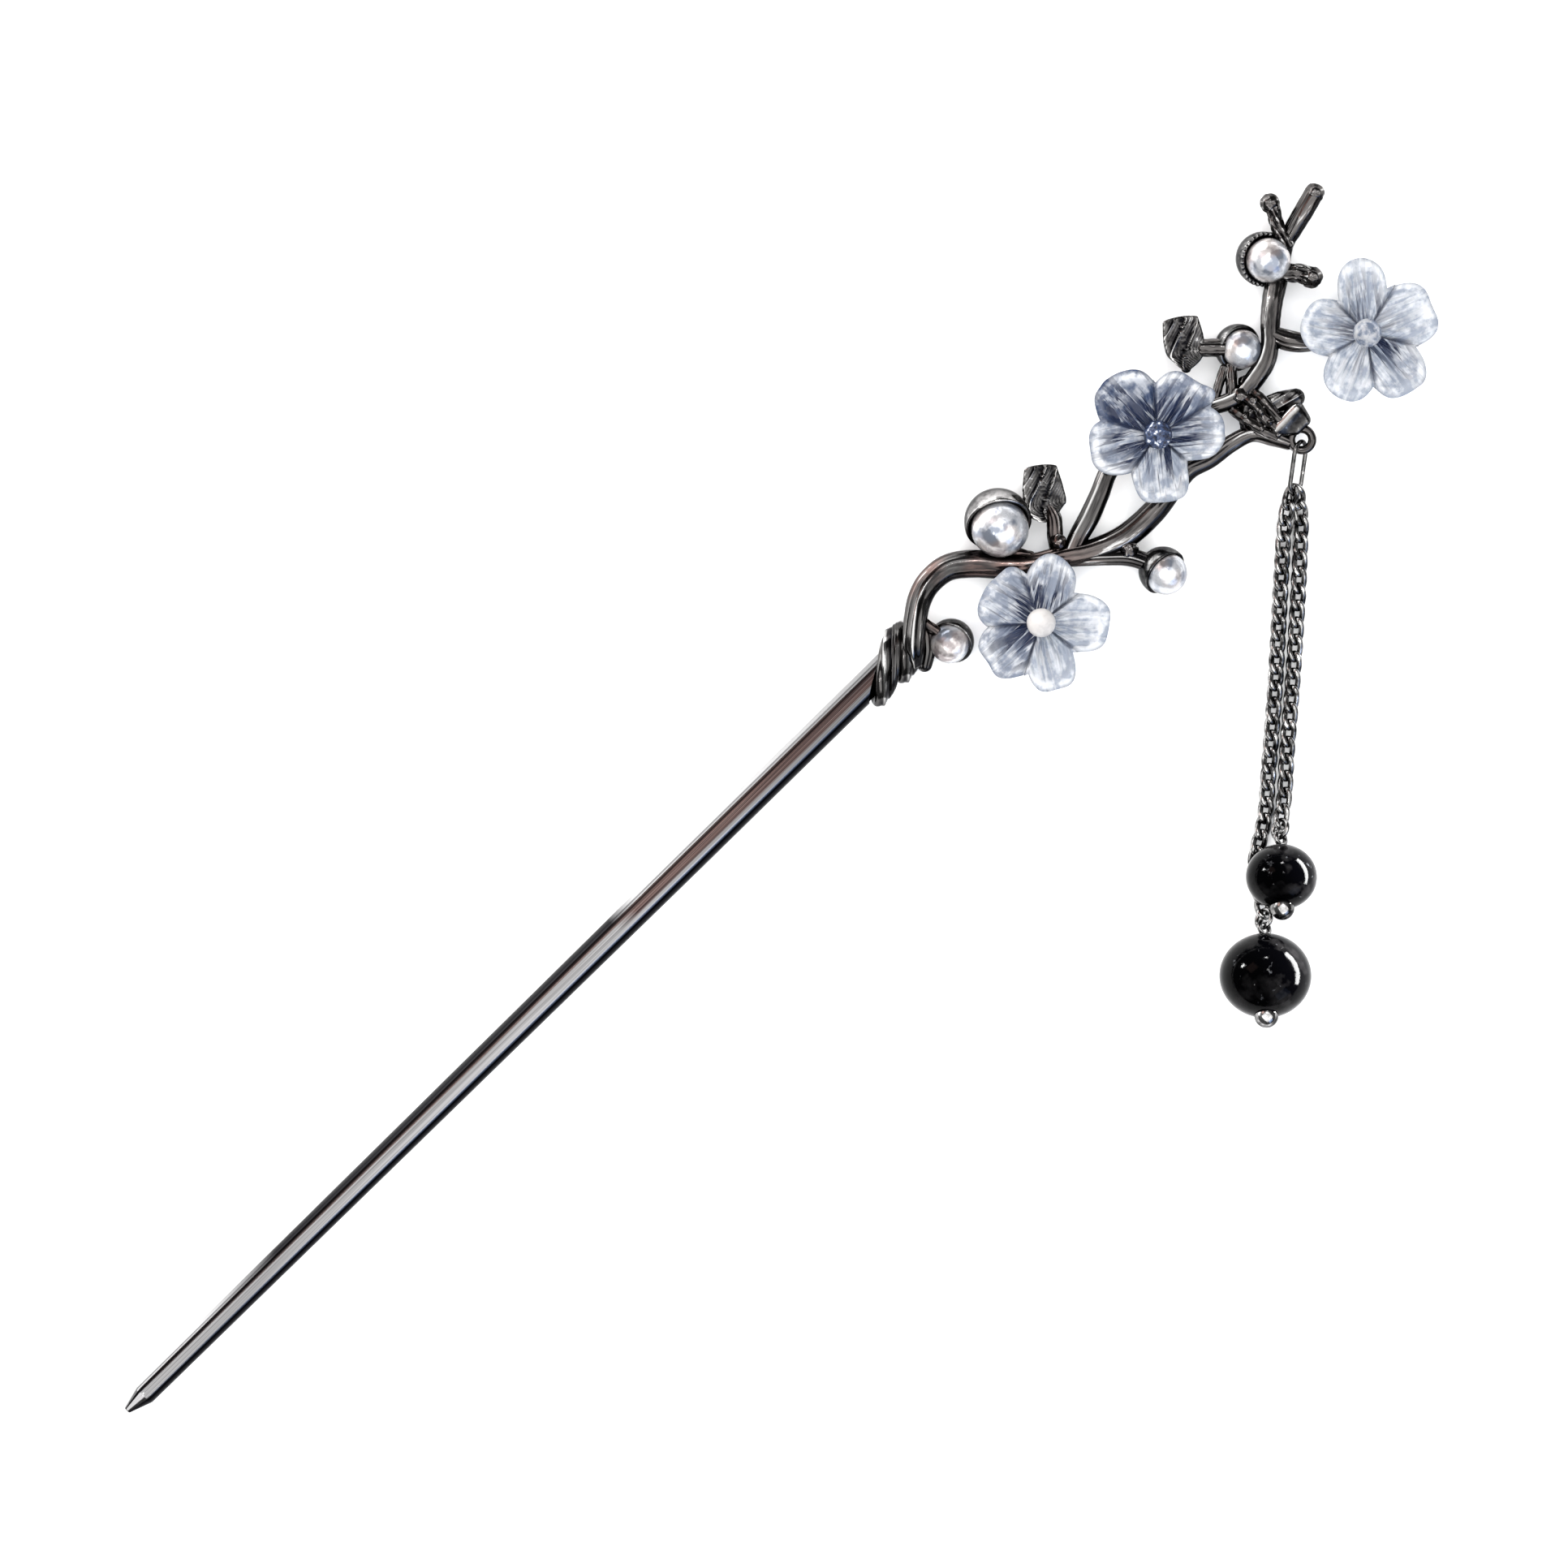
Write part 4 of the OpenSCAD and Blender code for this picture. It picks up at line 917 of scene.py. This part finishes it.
def lines_across(angle, pitch, depth, sharp):
    """Ridges that run in one direction on the upper side; their pitch is in millimetres."""
    a = radians(angle)

    def ridge(points, normals):
        across = points[:, 0] * -sin(a) + points[:, 1] * cos(a)
        wave = np.abs(np.sin(across / pitch * pi)) ** sharp
        return depth * (0.5 - wave) * np.clip(normals[:, 2], 0, 1)

    return ridge


def bark(depth, size):
    """An uneven bark skin."""

    def ridge(points, normals):
        return np.array([depth * noise.noise(Vector(p / size)) for p in points]) - depth / 2

    return ridge


# Cups: [across, up, lean, direction, seat, size], as in the CAD source, and the pearl's diameter
CUPS = {
    "cup_arch": ([18.2, 26.2, 45, -75, 0.37, 1.17], 6.4),
    "cup_root": ([9, 1.8, 35, -121, 0.25, 1.16], 4.4),
    "cup_twig": ([48.8, 16.8, 55, -42, 0.2, 1.14], 4.8),
    "cup_knot": ([62.8, 64.4, 35, -30, 0.35, 1.2], 4.4),
    "cup_top": ([67.6, 83.2, 32, -22, 0.45, 1.21], 5.0),
}

# Beaded rims: how many beads, and their height in millimetres
BEADED = {"cup_top": (30, 0.09)}


def cup_frame(cup, d):
    """The 4x4 matrix of a cup in the branch's frame."""
    lean, way = radians(cup[2]), radians(cup[3])
    out = np.array([sin(lean) * cos(way), sin(lean) * sin(way), cos(lean)])
    p = place([cup[0], cup[1], 0]) - out * cup[4] * d / 2
    along = WRAP_AT + p[0] * cos(SPRAY_TURN) + p[1] * sin(SPRAY_TURN)
    below = -(lift + along * sin(lie)) / cos(lie)
    p[2] = below + cup[5] * d / 2 + SEAT_GAP / 4
    return Matrix.Translation(p) @ Matrix.Rotation(way, 4, "Z") @ Matrix.Rotation(lean, 4, "Y")


def make_cup(name):
    """A turned bowl with a rounded rim; the top one has a beaded rim."""
    cup, d = CUPS[name]
    r = cup[5] * d / 2
    rim = CUP_RIM * r
    rim_r = sqrt(r * r - rim * rim)
    low = (cup[4] - 1) * d / 2 - SEAT_GAP
    inner = rim_r - CUP_WALL
    dish_up = (inner * inner / (rim - low) + low + rim) / 2
    dish_r = dish_up - low
    outside = np.linspace(-pi / 2, asin(CUP_RIM), 34)
    profile = [(r * cos(a), r * sin(a)) for a in outside]
    half = (rim_r - inner) / 2
    lip = np.radians([30, 60, 90, 120, 150])
    profile += [(inner + half + half * cos(a), rim + 0.55 * half * sin(a)) for a in lip]
    edge = asin(min(inner / dish_r, 1))
    profile += [(dish_r * sin(a), dish_up - dish_r * cos(a)) for a in np.linspace(edge, 0, 24)]
    profile[0] = (0, -r)
    beads = BEADED.get(name, (0, 0))

    def relief(radius, height, angle):
        near = bell(height - rim, 0.3) if radius > inner else 0
        return beads[1] * near * np.sin(angle * beads[0])

    skin = Skin()
    # The inside of the bowl is marked as raised, so the metal paints it lighter: a painted reflection
    marks = [0.12 if k >= len(outside) + 3 else 0 for k in range(len(profile))]
    lathe(skin, profile, cup_frame(cup, d), 180 if beads[0] else 96, relief, marks)
    shown = arch_dish_painted_reflection if name == "cup_arch" else dark_dish
    make_piece(name, skin, shown, 50)


def make_pearl(name, number):
    """A half-drilled pearl, a little uneven, in its cup."""
    low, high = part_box("pearl_" + name)
    at = (low + high) / 2 / MM
    cup, d = CUPS["cup_" + name]
    r, pit = d / 2, 0.4
    rounds = np.linspace(-pi / 2 + pit / r, pi / 2, 40)
    profile = [(0, -0.35 * r), (pit, -0.35 * r), *((r * cos(a), r * sin(a)) for a in rounds)]
    profile[-1] = (0, r)

    def relief(radius, height, angle):
        spots = [Vector((radius * cos(a), radius * sin(a), height)) / r for a in angle]
        own = Vector((number, 0, 0))
        return np.array([0.014 * r * noise.noise(spot + own) - 0.005 * r for spot in spots])

    skin = Skin(())
    turned = Matrix.Rotation(-SPRAY_TURN, 4, "Z") @ cup_frame(cup, d).to_3x3().to_4x4()
    lathe(skin, profile, Matrix.Translation(at) @ turned, 72, relief)
    make_piece("pearl_of_" + name, skin, pearl_finish, None, Matrix(), ["pearl_" + name])


def make_eye():
    """The eye for the tassel, and the seats under the blossoms."""
    skin = Skin()
    a = np.linspace(0, 2 * pi, 72, endpoint=False)
    ring = (EYE_HOLE + EYE_T) / 2
    path = eye_at + np.stack([ring * np.cos(a), ring * np.sin(a), 0 * a], axis=1)
    tube(skin, path, EYE_T / 2, sides=32, closed=True)
    seat_top = STEM_D / 2 + SEAT_GAP
    seat_r = CENTRE_PIN_D / 2 + SEAT_WALL
    hole = CENTRE_PIN_D / 2 + FIT_GAP
    low, deep = -STEM_D * 0.25, seat_top - STEM_D * 0.55
    profile = [
        (0, low), (seat_r - 0.1, low), (seat_r, low + 0.1), (seat_r, seat_top - 0.12),
        (seat_r - 0.12, seat_top), (hole + 0.06, seat_top), (hole, seat_top - 0.06), (hole, deep), (0, deep),
    ]
    for at in FLOWERS.values():
        lathe(skin, profile, Matrix.Translation(place([*at[0], 0])), 48)
    make_piece("eye_and_seats", skin, gunmetal, 40)


# BLOSSOMS. Petals are [direction, length, width, rise, ink]; ink says how strongly a petal is streaked.
# A sixth number makes a petal's end squarer or rounder than the others'.

FLOWERS = {
    "low": ((25.7, 6.2), [
        [77, 1.01, 0.86, 1.1, 1.3], [0, 1, 1.02, 0.8, 0.3], [-77, 1.01, 0.86, 0.9, 0.4],
        [-139, 0.97, 1.08, 1.2, 1.45], [146, 0.95, 1.12, 1, 1.3],
    ]),
    "mid": ((47.1, 46), [
        [4, 0.97, 0.94, 0.7, 1.25], [57, 0.99, 1.04, 1.1, 1.7, 3.4], [132, 1.07, 1.16, 1.2, 2.4, 2.1],
        [195, 1.02, 1, 0.9, 1.4], [274, 0.98, 0.98, 1, 1.1],
    ]),
    "top": ((85.5, 67.5), [
        [96, 1.08, 0.86, 1.1, 0.8], [24, 1.05, 1.14, 0.8, 0.4], [-50, 1.06, 1.02, 0.9, 1.05],
        [-112, 1.02, 0.92, 1, 0.35], [171, 0.94, 1, 1.1, 0.6],
    ]),
}
HUB_SHARE = 0.3
CUPPED = 0.3
PETAL_SQUARE = 2.7
PETAL_WIDEST = 0.53


def petal_edge(petal, a):
    """How far a petal reaches in a direction, 0 where it misses; found by halving, as in the CAD source."""
    off = a - radians(petal[0])
    if cos(off) < 0.3:
        return 0
    whole, half_w = petal[1] * FLOWER_D / 2, petal[2] * PETAL_W / 2
    square = petal[5] if len(petal) > 5 else PETAL_SQUARE
    near, far = 0.0, FLOWER_D
    for _ in range(16):
        r = (near + far) / 2
        past = max(r * cos(off) - PETAL_WIDEST * whole, 0) / (whole * (1 - PETAL_WIDEST))
        inside = past**square + (abs(r * sin(off)) / half_w) ** square < 1
        near, far = (r, far) if inside else (near, r)
    return near


def turn_between(a, b):
    """The angle from one direction to another, from minus to plus half a turn."""
    return (a - b + pi) % (2 * pi) - pi


def make_flower(name):
    """One moulded blossom: five cupped petals with fanning ribs, valleys between them and soft edges."""
    at, petals = FLOWERS[name]
    bore = CENTRE_PIN_D / 2 + FIT_GAP
    columns = 420
    rounded = np.sin(np.linspace(0, pi / 2, 9))[1:]
    shares = np.concatenate([np.linspace(0, 0.9, 30), 0.9 + 0.1 * rounded])
    rows = len(shares)
    points = np.zeros((columns, 2 * rows, 3))
    values = np.zeros((columns, 2 * rows, 5))
    ways = [radians(p[0]) for p in petals]
    for i in range(columns):
        a = 2 * pi * i / columns
        offs = [abs(turn_between(a, w)) for w in ways]
        order = np.argsort(offs)
        own, other = petals[order[0]], petals[order[1]]
        off = turn_between(a, ways[order[0]])
        valley = (offs[order[1]] - offs[order[0]]) / 2
        far = max(max(petal_edge(p, a) for p in petals), HUB_SHARE * FLOWER_D / 2)
        ruffle = noise.noise(Vector((3 * cos(a), 3 * sin(a), at[0])))
        far *= 1 - 0.012 + 0.012 * sin(11 * off + own[0]) + 0.05 * ruffle * own[4]
        blend = 0.5 + 0.5 * tanh(valley / 0.1)
        rise_share = own[3] * blend + other[3] * (1 - blend)
        ink = own[4] * blend + other[4] * (1 - blend)
        for j, s in enumerate(shares):
            r = bore + (far - bore) * s
            across = r * sin(off) / (own[2] * PETAL_W / 2)
            base = rise_share * PETAL_RISE * (2 * r / FLOWER_D) ** 2 + CUPPED * min(1, across**2)
            thick = PETAL_T * (1 - 0.5 * s**4)
            body = sqrt(max(0.0, 1 - ((s - 0.9) / 0.1) ** 2)) if s > 0.9 else 1.0
            fan = noise.noise(Vector((off * 9 + own[0], r * 0.12, at[0]))) * sin(pi * min(s * 1.1, 1))
            lip = 0.14 * bell(s - 0.87, 0.05) - 0.14 * bell(s - 0.74, 0.08)
            dip = 0.45 * bell(valley, 0.06) * min(1, s * 2.2)
            hollow = 0.2 * bell(off, 0.08) * sin(pi * s)
            top = base + thick * (0.5 + 0.5 * body) + (0.4 * fan + lip - dip - hollow) * body
            under = base + thick * (0.5 - 0.5 * body)
            points[i, j] = r * cos(a), r * sin(a), under
            points[i, 2 * rows - 1 - j] = r * cos(a), r * sin(a), top
            shown = across + 3 * order[0] + 20 * own[1], r / (FLOWER_D / 2), ink, s, valley
            values[i, j] = values[i, 2 * rows - 1 - j] = shown
    skin = Skin(PETAL_VALUES)
    skin.add(points, grid_faces(columns, 2 * rows, True), values)
    seat_top = STEM_D / 2 + SEAT_GAP
    stand = on_branch @ Matrix.Translation(place([*at, 0]) + UP * (seat_top + SEAT_GAP))
    make_piece("blossom_" + name, skin, glass, None, stand, ["flower_" + name])


# THE TASSEL, in a frame at the eye on the surface, with y up the photograph

ring_half = (RING_W - RING_WIRE) / 2
ring_reach = RING_L - RING_WIRE
ring_top = np.array([0, -(EYE_HOLE - RING_WIRE) / 4, eye_height])
ring_down = unit([-0.7, -5.2, -0.8])
ring_across = unit(np.cross(ring_down, [sin(RING_LEAN), 0, cos(RING_LEAN)]))
ring_end = ring_top + ring_down * ring_reach
bead_down = np.array([0, -cos(BEAD_LEAN), sin(BEAD_LEAN)])
end_down = np.array([0, -cos(END_RISE), sin(END_RISE)])
loop_r = (PIN_LOOP_D - PIN_WIRE) / 2
small_ring_r = (SMALL_RING_D - SMALL_RING_WIRE) / 2
link_half_w = (LINK_W - LINK_WIRE) / 2
link_twist = 0.56 * link_half_w
lying_up = link_twist + LINK_WIRE / 2 + 0.04
end_gap = 1.4 * LINK_GAP
short_drop = LONG_DROP - (9.2 + 7.1) / 2 - BEAD_APART

# Each strand: side of the ring, bead's place and length, and route rows as in the CAD source
STRANDS = {
    "chain_short": (-1, (-2.3, -short_drop, 7.9 / 2 + 0.75), 7.1, [
        [-4, 5.7, 1.5], [-2, 11.8, 1.15], [9, 25.8, 1], [37, 49.8, 1], [65, 68.6, 1], [72, 77.2, 1.1],
    ]),
    "chain_long": (1, (-4.1, -LONG_DROP, 10.2 / 2), 9.2, [
        [41, 5.3, 3.7], [46, 11.8, 2.1], [51, 21.2, 1.05], [67, 49.6, 1], [84, 70.9, 1], [95, 84.6, 1],
        [117, 93.3, 1], [122, 98.6, 1], [110, 104.1, 1.35],
    ]),
}


# The shown wire of a link is thicker than the solid's, and closes the gaps that keep the solids apart
LINK_LOOK = 0.64
LINK_SWELL = 0.055


def make_bead(name, strand, d):
    """A polished stone bead, drilled through for its pin."""
    _, at, length, _ = STRANDS[strand]
    bore = PIN_WIRE / 2 + FIT_GAP
    first = asin((bore + 0.12) * 2 / d)
    turns = np.linspace(first, pi - first, 56)
    profile = [(d / 2 * sin(a), -length / 2 * cos(a)) for a in turns]
    profile += [(bore, profile[-1][1] - 0.1), (bore, profile[0][1] + 0.1)]
    turned = Matrix.Translation(at) @ Matrix.Rotation(pi / 2 + BEAD_LEAN, 4, "X")
    skin = Skin(())
    lathe(skin, profile, turned, 96)
    return make_piece("stone_" + name, skin, bead_finish, None, on_surface, ["bead_" + name])


def make_chain(name):
    """A strand of twisted curb links, each a closed loop of polished wire."""
    side, bead, bead_l, route = STRANDS[name]
    bead = np.array(bead)
    loop_at = bead - bead_down * (bead_l / 2 + SEAT_GAP + PIN_WIRE / 2 + loop_r)
    hang = (PIN_WIRE + SMALL_RING_WIRE) / 2 + LINK_GAP - small_ring_r
    ring_at = loop_at - bead_down * loop_r + end_down * hang
    strand_end = ring_at + end_down * (SMALL_RING_WIRE / 2 + end_gap - small_ring_r)
    turn = asin(side * STRAND_APART / ring_half)
    out = ring_down * cos(turn) + ring_across * sin(turn)
    start = ring_end - ring_down * ring_half + out * (ring_half - RING_WIRE / 2 - end_gap)
    way = -short_drop - ring_end[1]
    places = [[row[0] * bead[0] / 100, ring_end[1] + way * row[1] / 100, row[2] * lying_up] for row in route]
    path = smooth([start, *places, strand_end], 8)
    steps = np.concatenate([[0], np.cumsum(np.linalg.norm(np.diff(path, axis=0), axis=1))])
    links = round(steps[-1] / LINK_PITCH)
    marks = np.linspace(0, steps[-1], links + 1)
    ends = np.stack([np.interp(marks, steps, path[:, k]) for k in range(3)], axis=1)
    skin = Skin()
    shown_half_w = (LINK_W - LINK_LOOK) / 2 + LINK_SWELL
    t = np.linspace(0, 2 * pi, 48, endpoint=False)
    for a, b in zip(ends[:-1], ends[1:]):
        along = unit(b - a)
        across = unit(np.cross(along, UP))
        top = np.cross(across, along)
        half_l = np.linalg.norm(b - a) / 2 + (LINK_WIRE + LINK_GAP) / 2 + 0.06
        loop = (
            (a + b) / 2 + np.outer(shown_half_w * np.cos(t), across) + np.outer(half_l * np.sin(t), along)
            + np.outer(link_twist * np.sin(2 * t), top)
        )
        tube(skin, loop, LINK_LOOK / 2, sides=14, closed=True, up=top)
    make_piece(name + "_links", skin, findings, None, on_surface, [name])


# BUILD

glass = petal_glass()
pearl_finish = pearl()
bead_finish = black_bead()

stick = make_stick()
make_wrap()
make_stems()
make_leaf("leaf_low", LEAF_LOW)
make_leaf("leaf_side", LEAF_SIDE)
lump_piece("knot", KNOT, bark(depth=0.3, size=0.6))
lump_piece("bud_upper", BUD_UPPER, lines_across(30, pitch=0.85, depth=0.2, sharp=1), turns=16)
lump_piece("bud_lower", BUD_LOWER, lines_across(46, pitch=3.1, depth=0.26, sharp=2), turns=24)
lump_piece("bud_web", BUD_WEB, bark(depth=0.15, size=0.5))
for cup_name in CUPS:
    make_cup(cup_name)
make_eye()
for flower in FLOWERS:
    make_flower(flower)
for chain in STRANDS:
    make_chain(chain)
for number, pearl_name in enumerate(("arch", "root", "twig", "knot", "top")):
    make_pearl(pearl_name, number * 7)
beads = [make_bead("small", "chain_short", 7.9), make_bead("large", "chain_long", 10.2)]

CARRIED = {
    oval_metal: ["jump_ring"],
    findings: ["ring_short", "ring_long", "pin_short", "pin_long"],
    milk_glass(): ["centre_low"],
    ink_glass(): ["centre_mid"],
    clear_glass(): ["centre_top"],
}
for finish, names in CARRIED.items():
    for name in names:
        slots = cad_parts[name].data.materials
        slots.clear()
        slots.append(finish)
        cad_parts[name].data.shade_smooth()


# FLOOR AND LIGHT

# In metres; the floor lies a hair below the surface
FLOOR_HALF = 3
FLOOR_DROP = 0.00002

floor_mesh = bpy.data.meshes.new("floor")
corners = [(-FLOOR_HALF, -FLOOR_HALF, 0), (FLOOR_HALF, -FLOOR_HALF, 0)]
corners += [(FLOOR_HALF, FLOOR_HALF, 0), (-FLOOR_HALF, FLOOR_HALF, 0)]
floor_mesh.from_pydata(corners, [], [(0, 1, 2, 3)])
floor = add_object("floor", floor_mesh)
floor.location.z = -FLOOR_DROP
floor_mesh.materials.append(Finish("floor", Roughness=0.9, Base_Color=(0.9, 0.9, 0.9)).material)

middle = Vector(photo_point(PHOTO_W / 2, 900) * MM)


def softbox(name, towards, distance, width, depth, radiance, colour=(1, 1, 1), only=(), spared=()):
    """A soft rectangular light in a direction from the middle, its width lying along the stick; in metres.

    It can light some pieces only, and then nothing else shades them from it, or miss the spared ones.
    """
    back = Vector(towards).normalized()
    side = (Vector((1, 0, 0)) - back * back.x).normalized()
    light = bpy.data.lights.new(name, "AREA")
    light.shape = "RECTANGLE"
    light.size, light.size_y = width, depth
    light.energy = radiance * pi * width * depth
    light.color = colour
    lamp = add_object(name, light)
    turned = Matrix((side, back.cross(side), back)).transposed().to_4x4()
    lamp.matrix_world = Matrix.Translation(middle + back * distance) @ turned
    lamp.visible_camera = False
    if only or spared:
        linked = bpy.data.collections.new(name)
        for piece in only or spared:
            linked.objects.link(piece)
        if only:
            lamp.light_linking.blocker_collection = linked
        else:
            for entry in linked.collection_objects:
                entry.light_linking.link_state = "EXCLUDE"
        lamp.light_linking.receiver_collection = linked


def on_ball(right, up):
    """The direction that shows at a place on a ball seen from above, in shares of its radius in the photo."""
    lean = hypot(right, up)
    way = (photo_right * right + photo_up * up) / lean
    return way * sin(2 * asin(lean)) + UP * cos(2 * asin(lean))


def slanted(degrees, along=0.0):
    """A direction so many degrees from straight up toward the row's +Y, the photograph's upper left."""
    a = radians(degrees)
    return along, sin(a), cos(a)


# Each light: its direction, distance, width, depth and radiance, and for some its colour
softbox("overhead", slanted(-12), 0.8, 1.3, 1.5, 2.4, spared=beads)
softbox("wall", slanted(77), 0.7, 1.2, 0.28, 5, spared=beads)
softbox("rosy", slanted(46), 0.7, 0.3, 0.25, 1.6, (1, 0.66, 0.58))
softbox("blue", slanted(-64), 0.7, 0.35, 0.3, 1.8, (0.45, 0.62, 1))
softbox("spark_a", slanted(12, 0.45), 0.6, 0.04, 0.04, 50)
softbox("spark_b", slanted(4, -0.6), 0.6, 0.04, 0.03, 50)
softbox("point_fill", slanted(5, -1.15), 0.7, 0.3, 0.6, 4, only=[stick])
softbox("floor_fill", slanted(0), 0.8, 1.8, 1.8, 1.5, only=[floor])
softbox("bead_side", on_ball(0.65, 0.22), 0.7, 0.9, 0.16, 160, only=beads)
softbox("bead_left", on_ball(-0.47, 0.32), 0.7, 0.1, 0.08, 220, only=beads)
softbox("bead_top", on_ball(0.05, 0.5), 0.7, 0.07, 0.06, 180, only=beads)

world = bpy.data.worlds.new("world")
bpy.context.scene.world = world
world.use_nodes = True
background = world.node_tree.nodes["Background"]
background.inputs["Color"].default_value = (0.98, 0.99, 1, 1)
background.inputs["Strength"].default_value = 0.15

bpy.context.scene.view_settings.view_transform = "Standard"
bpy.context.scene.view_settings.look = "None"
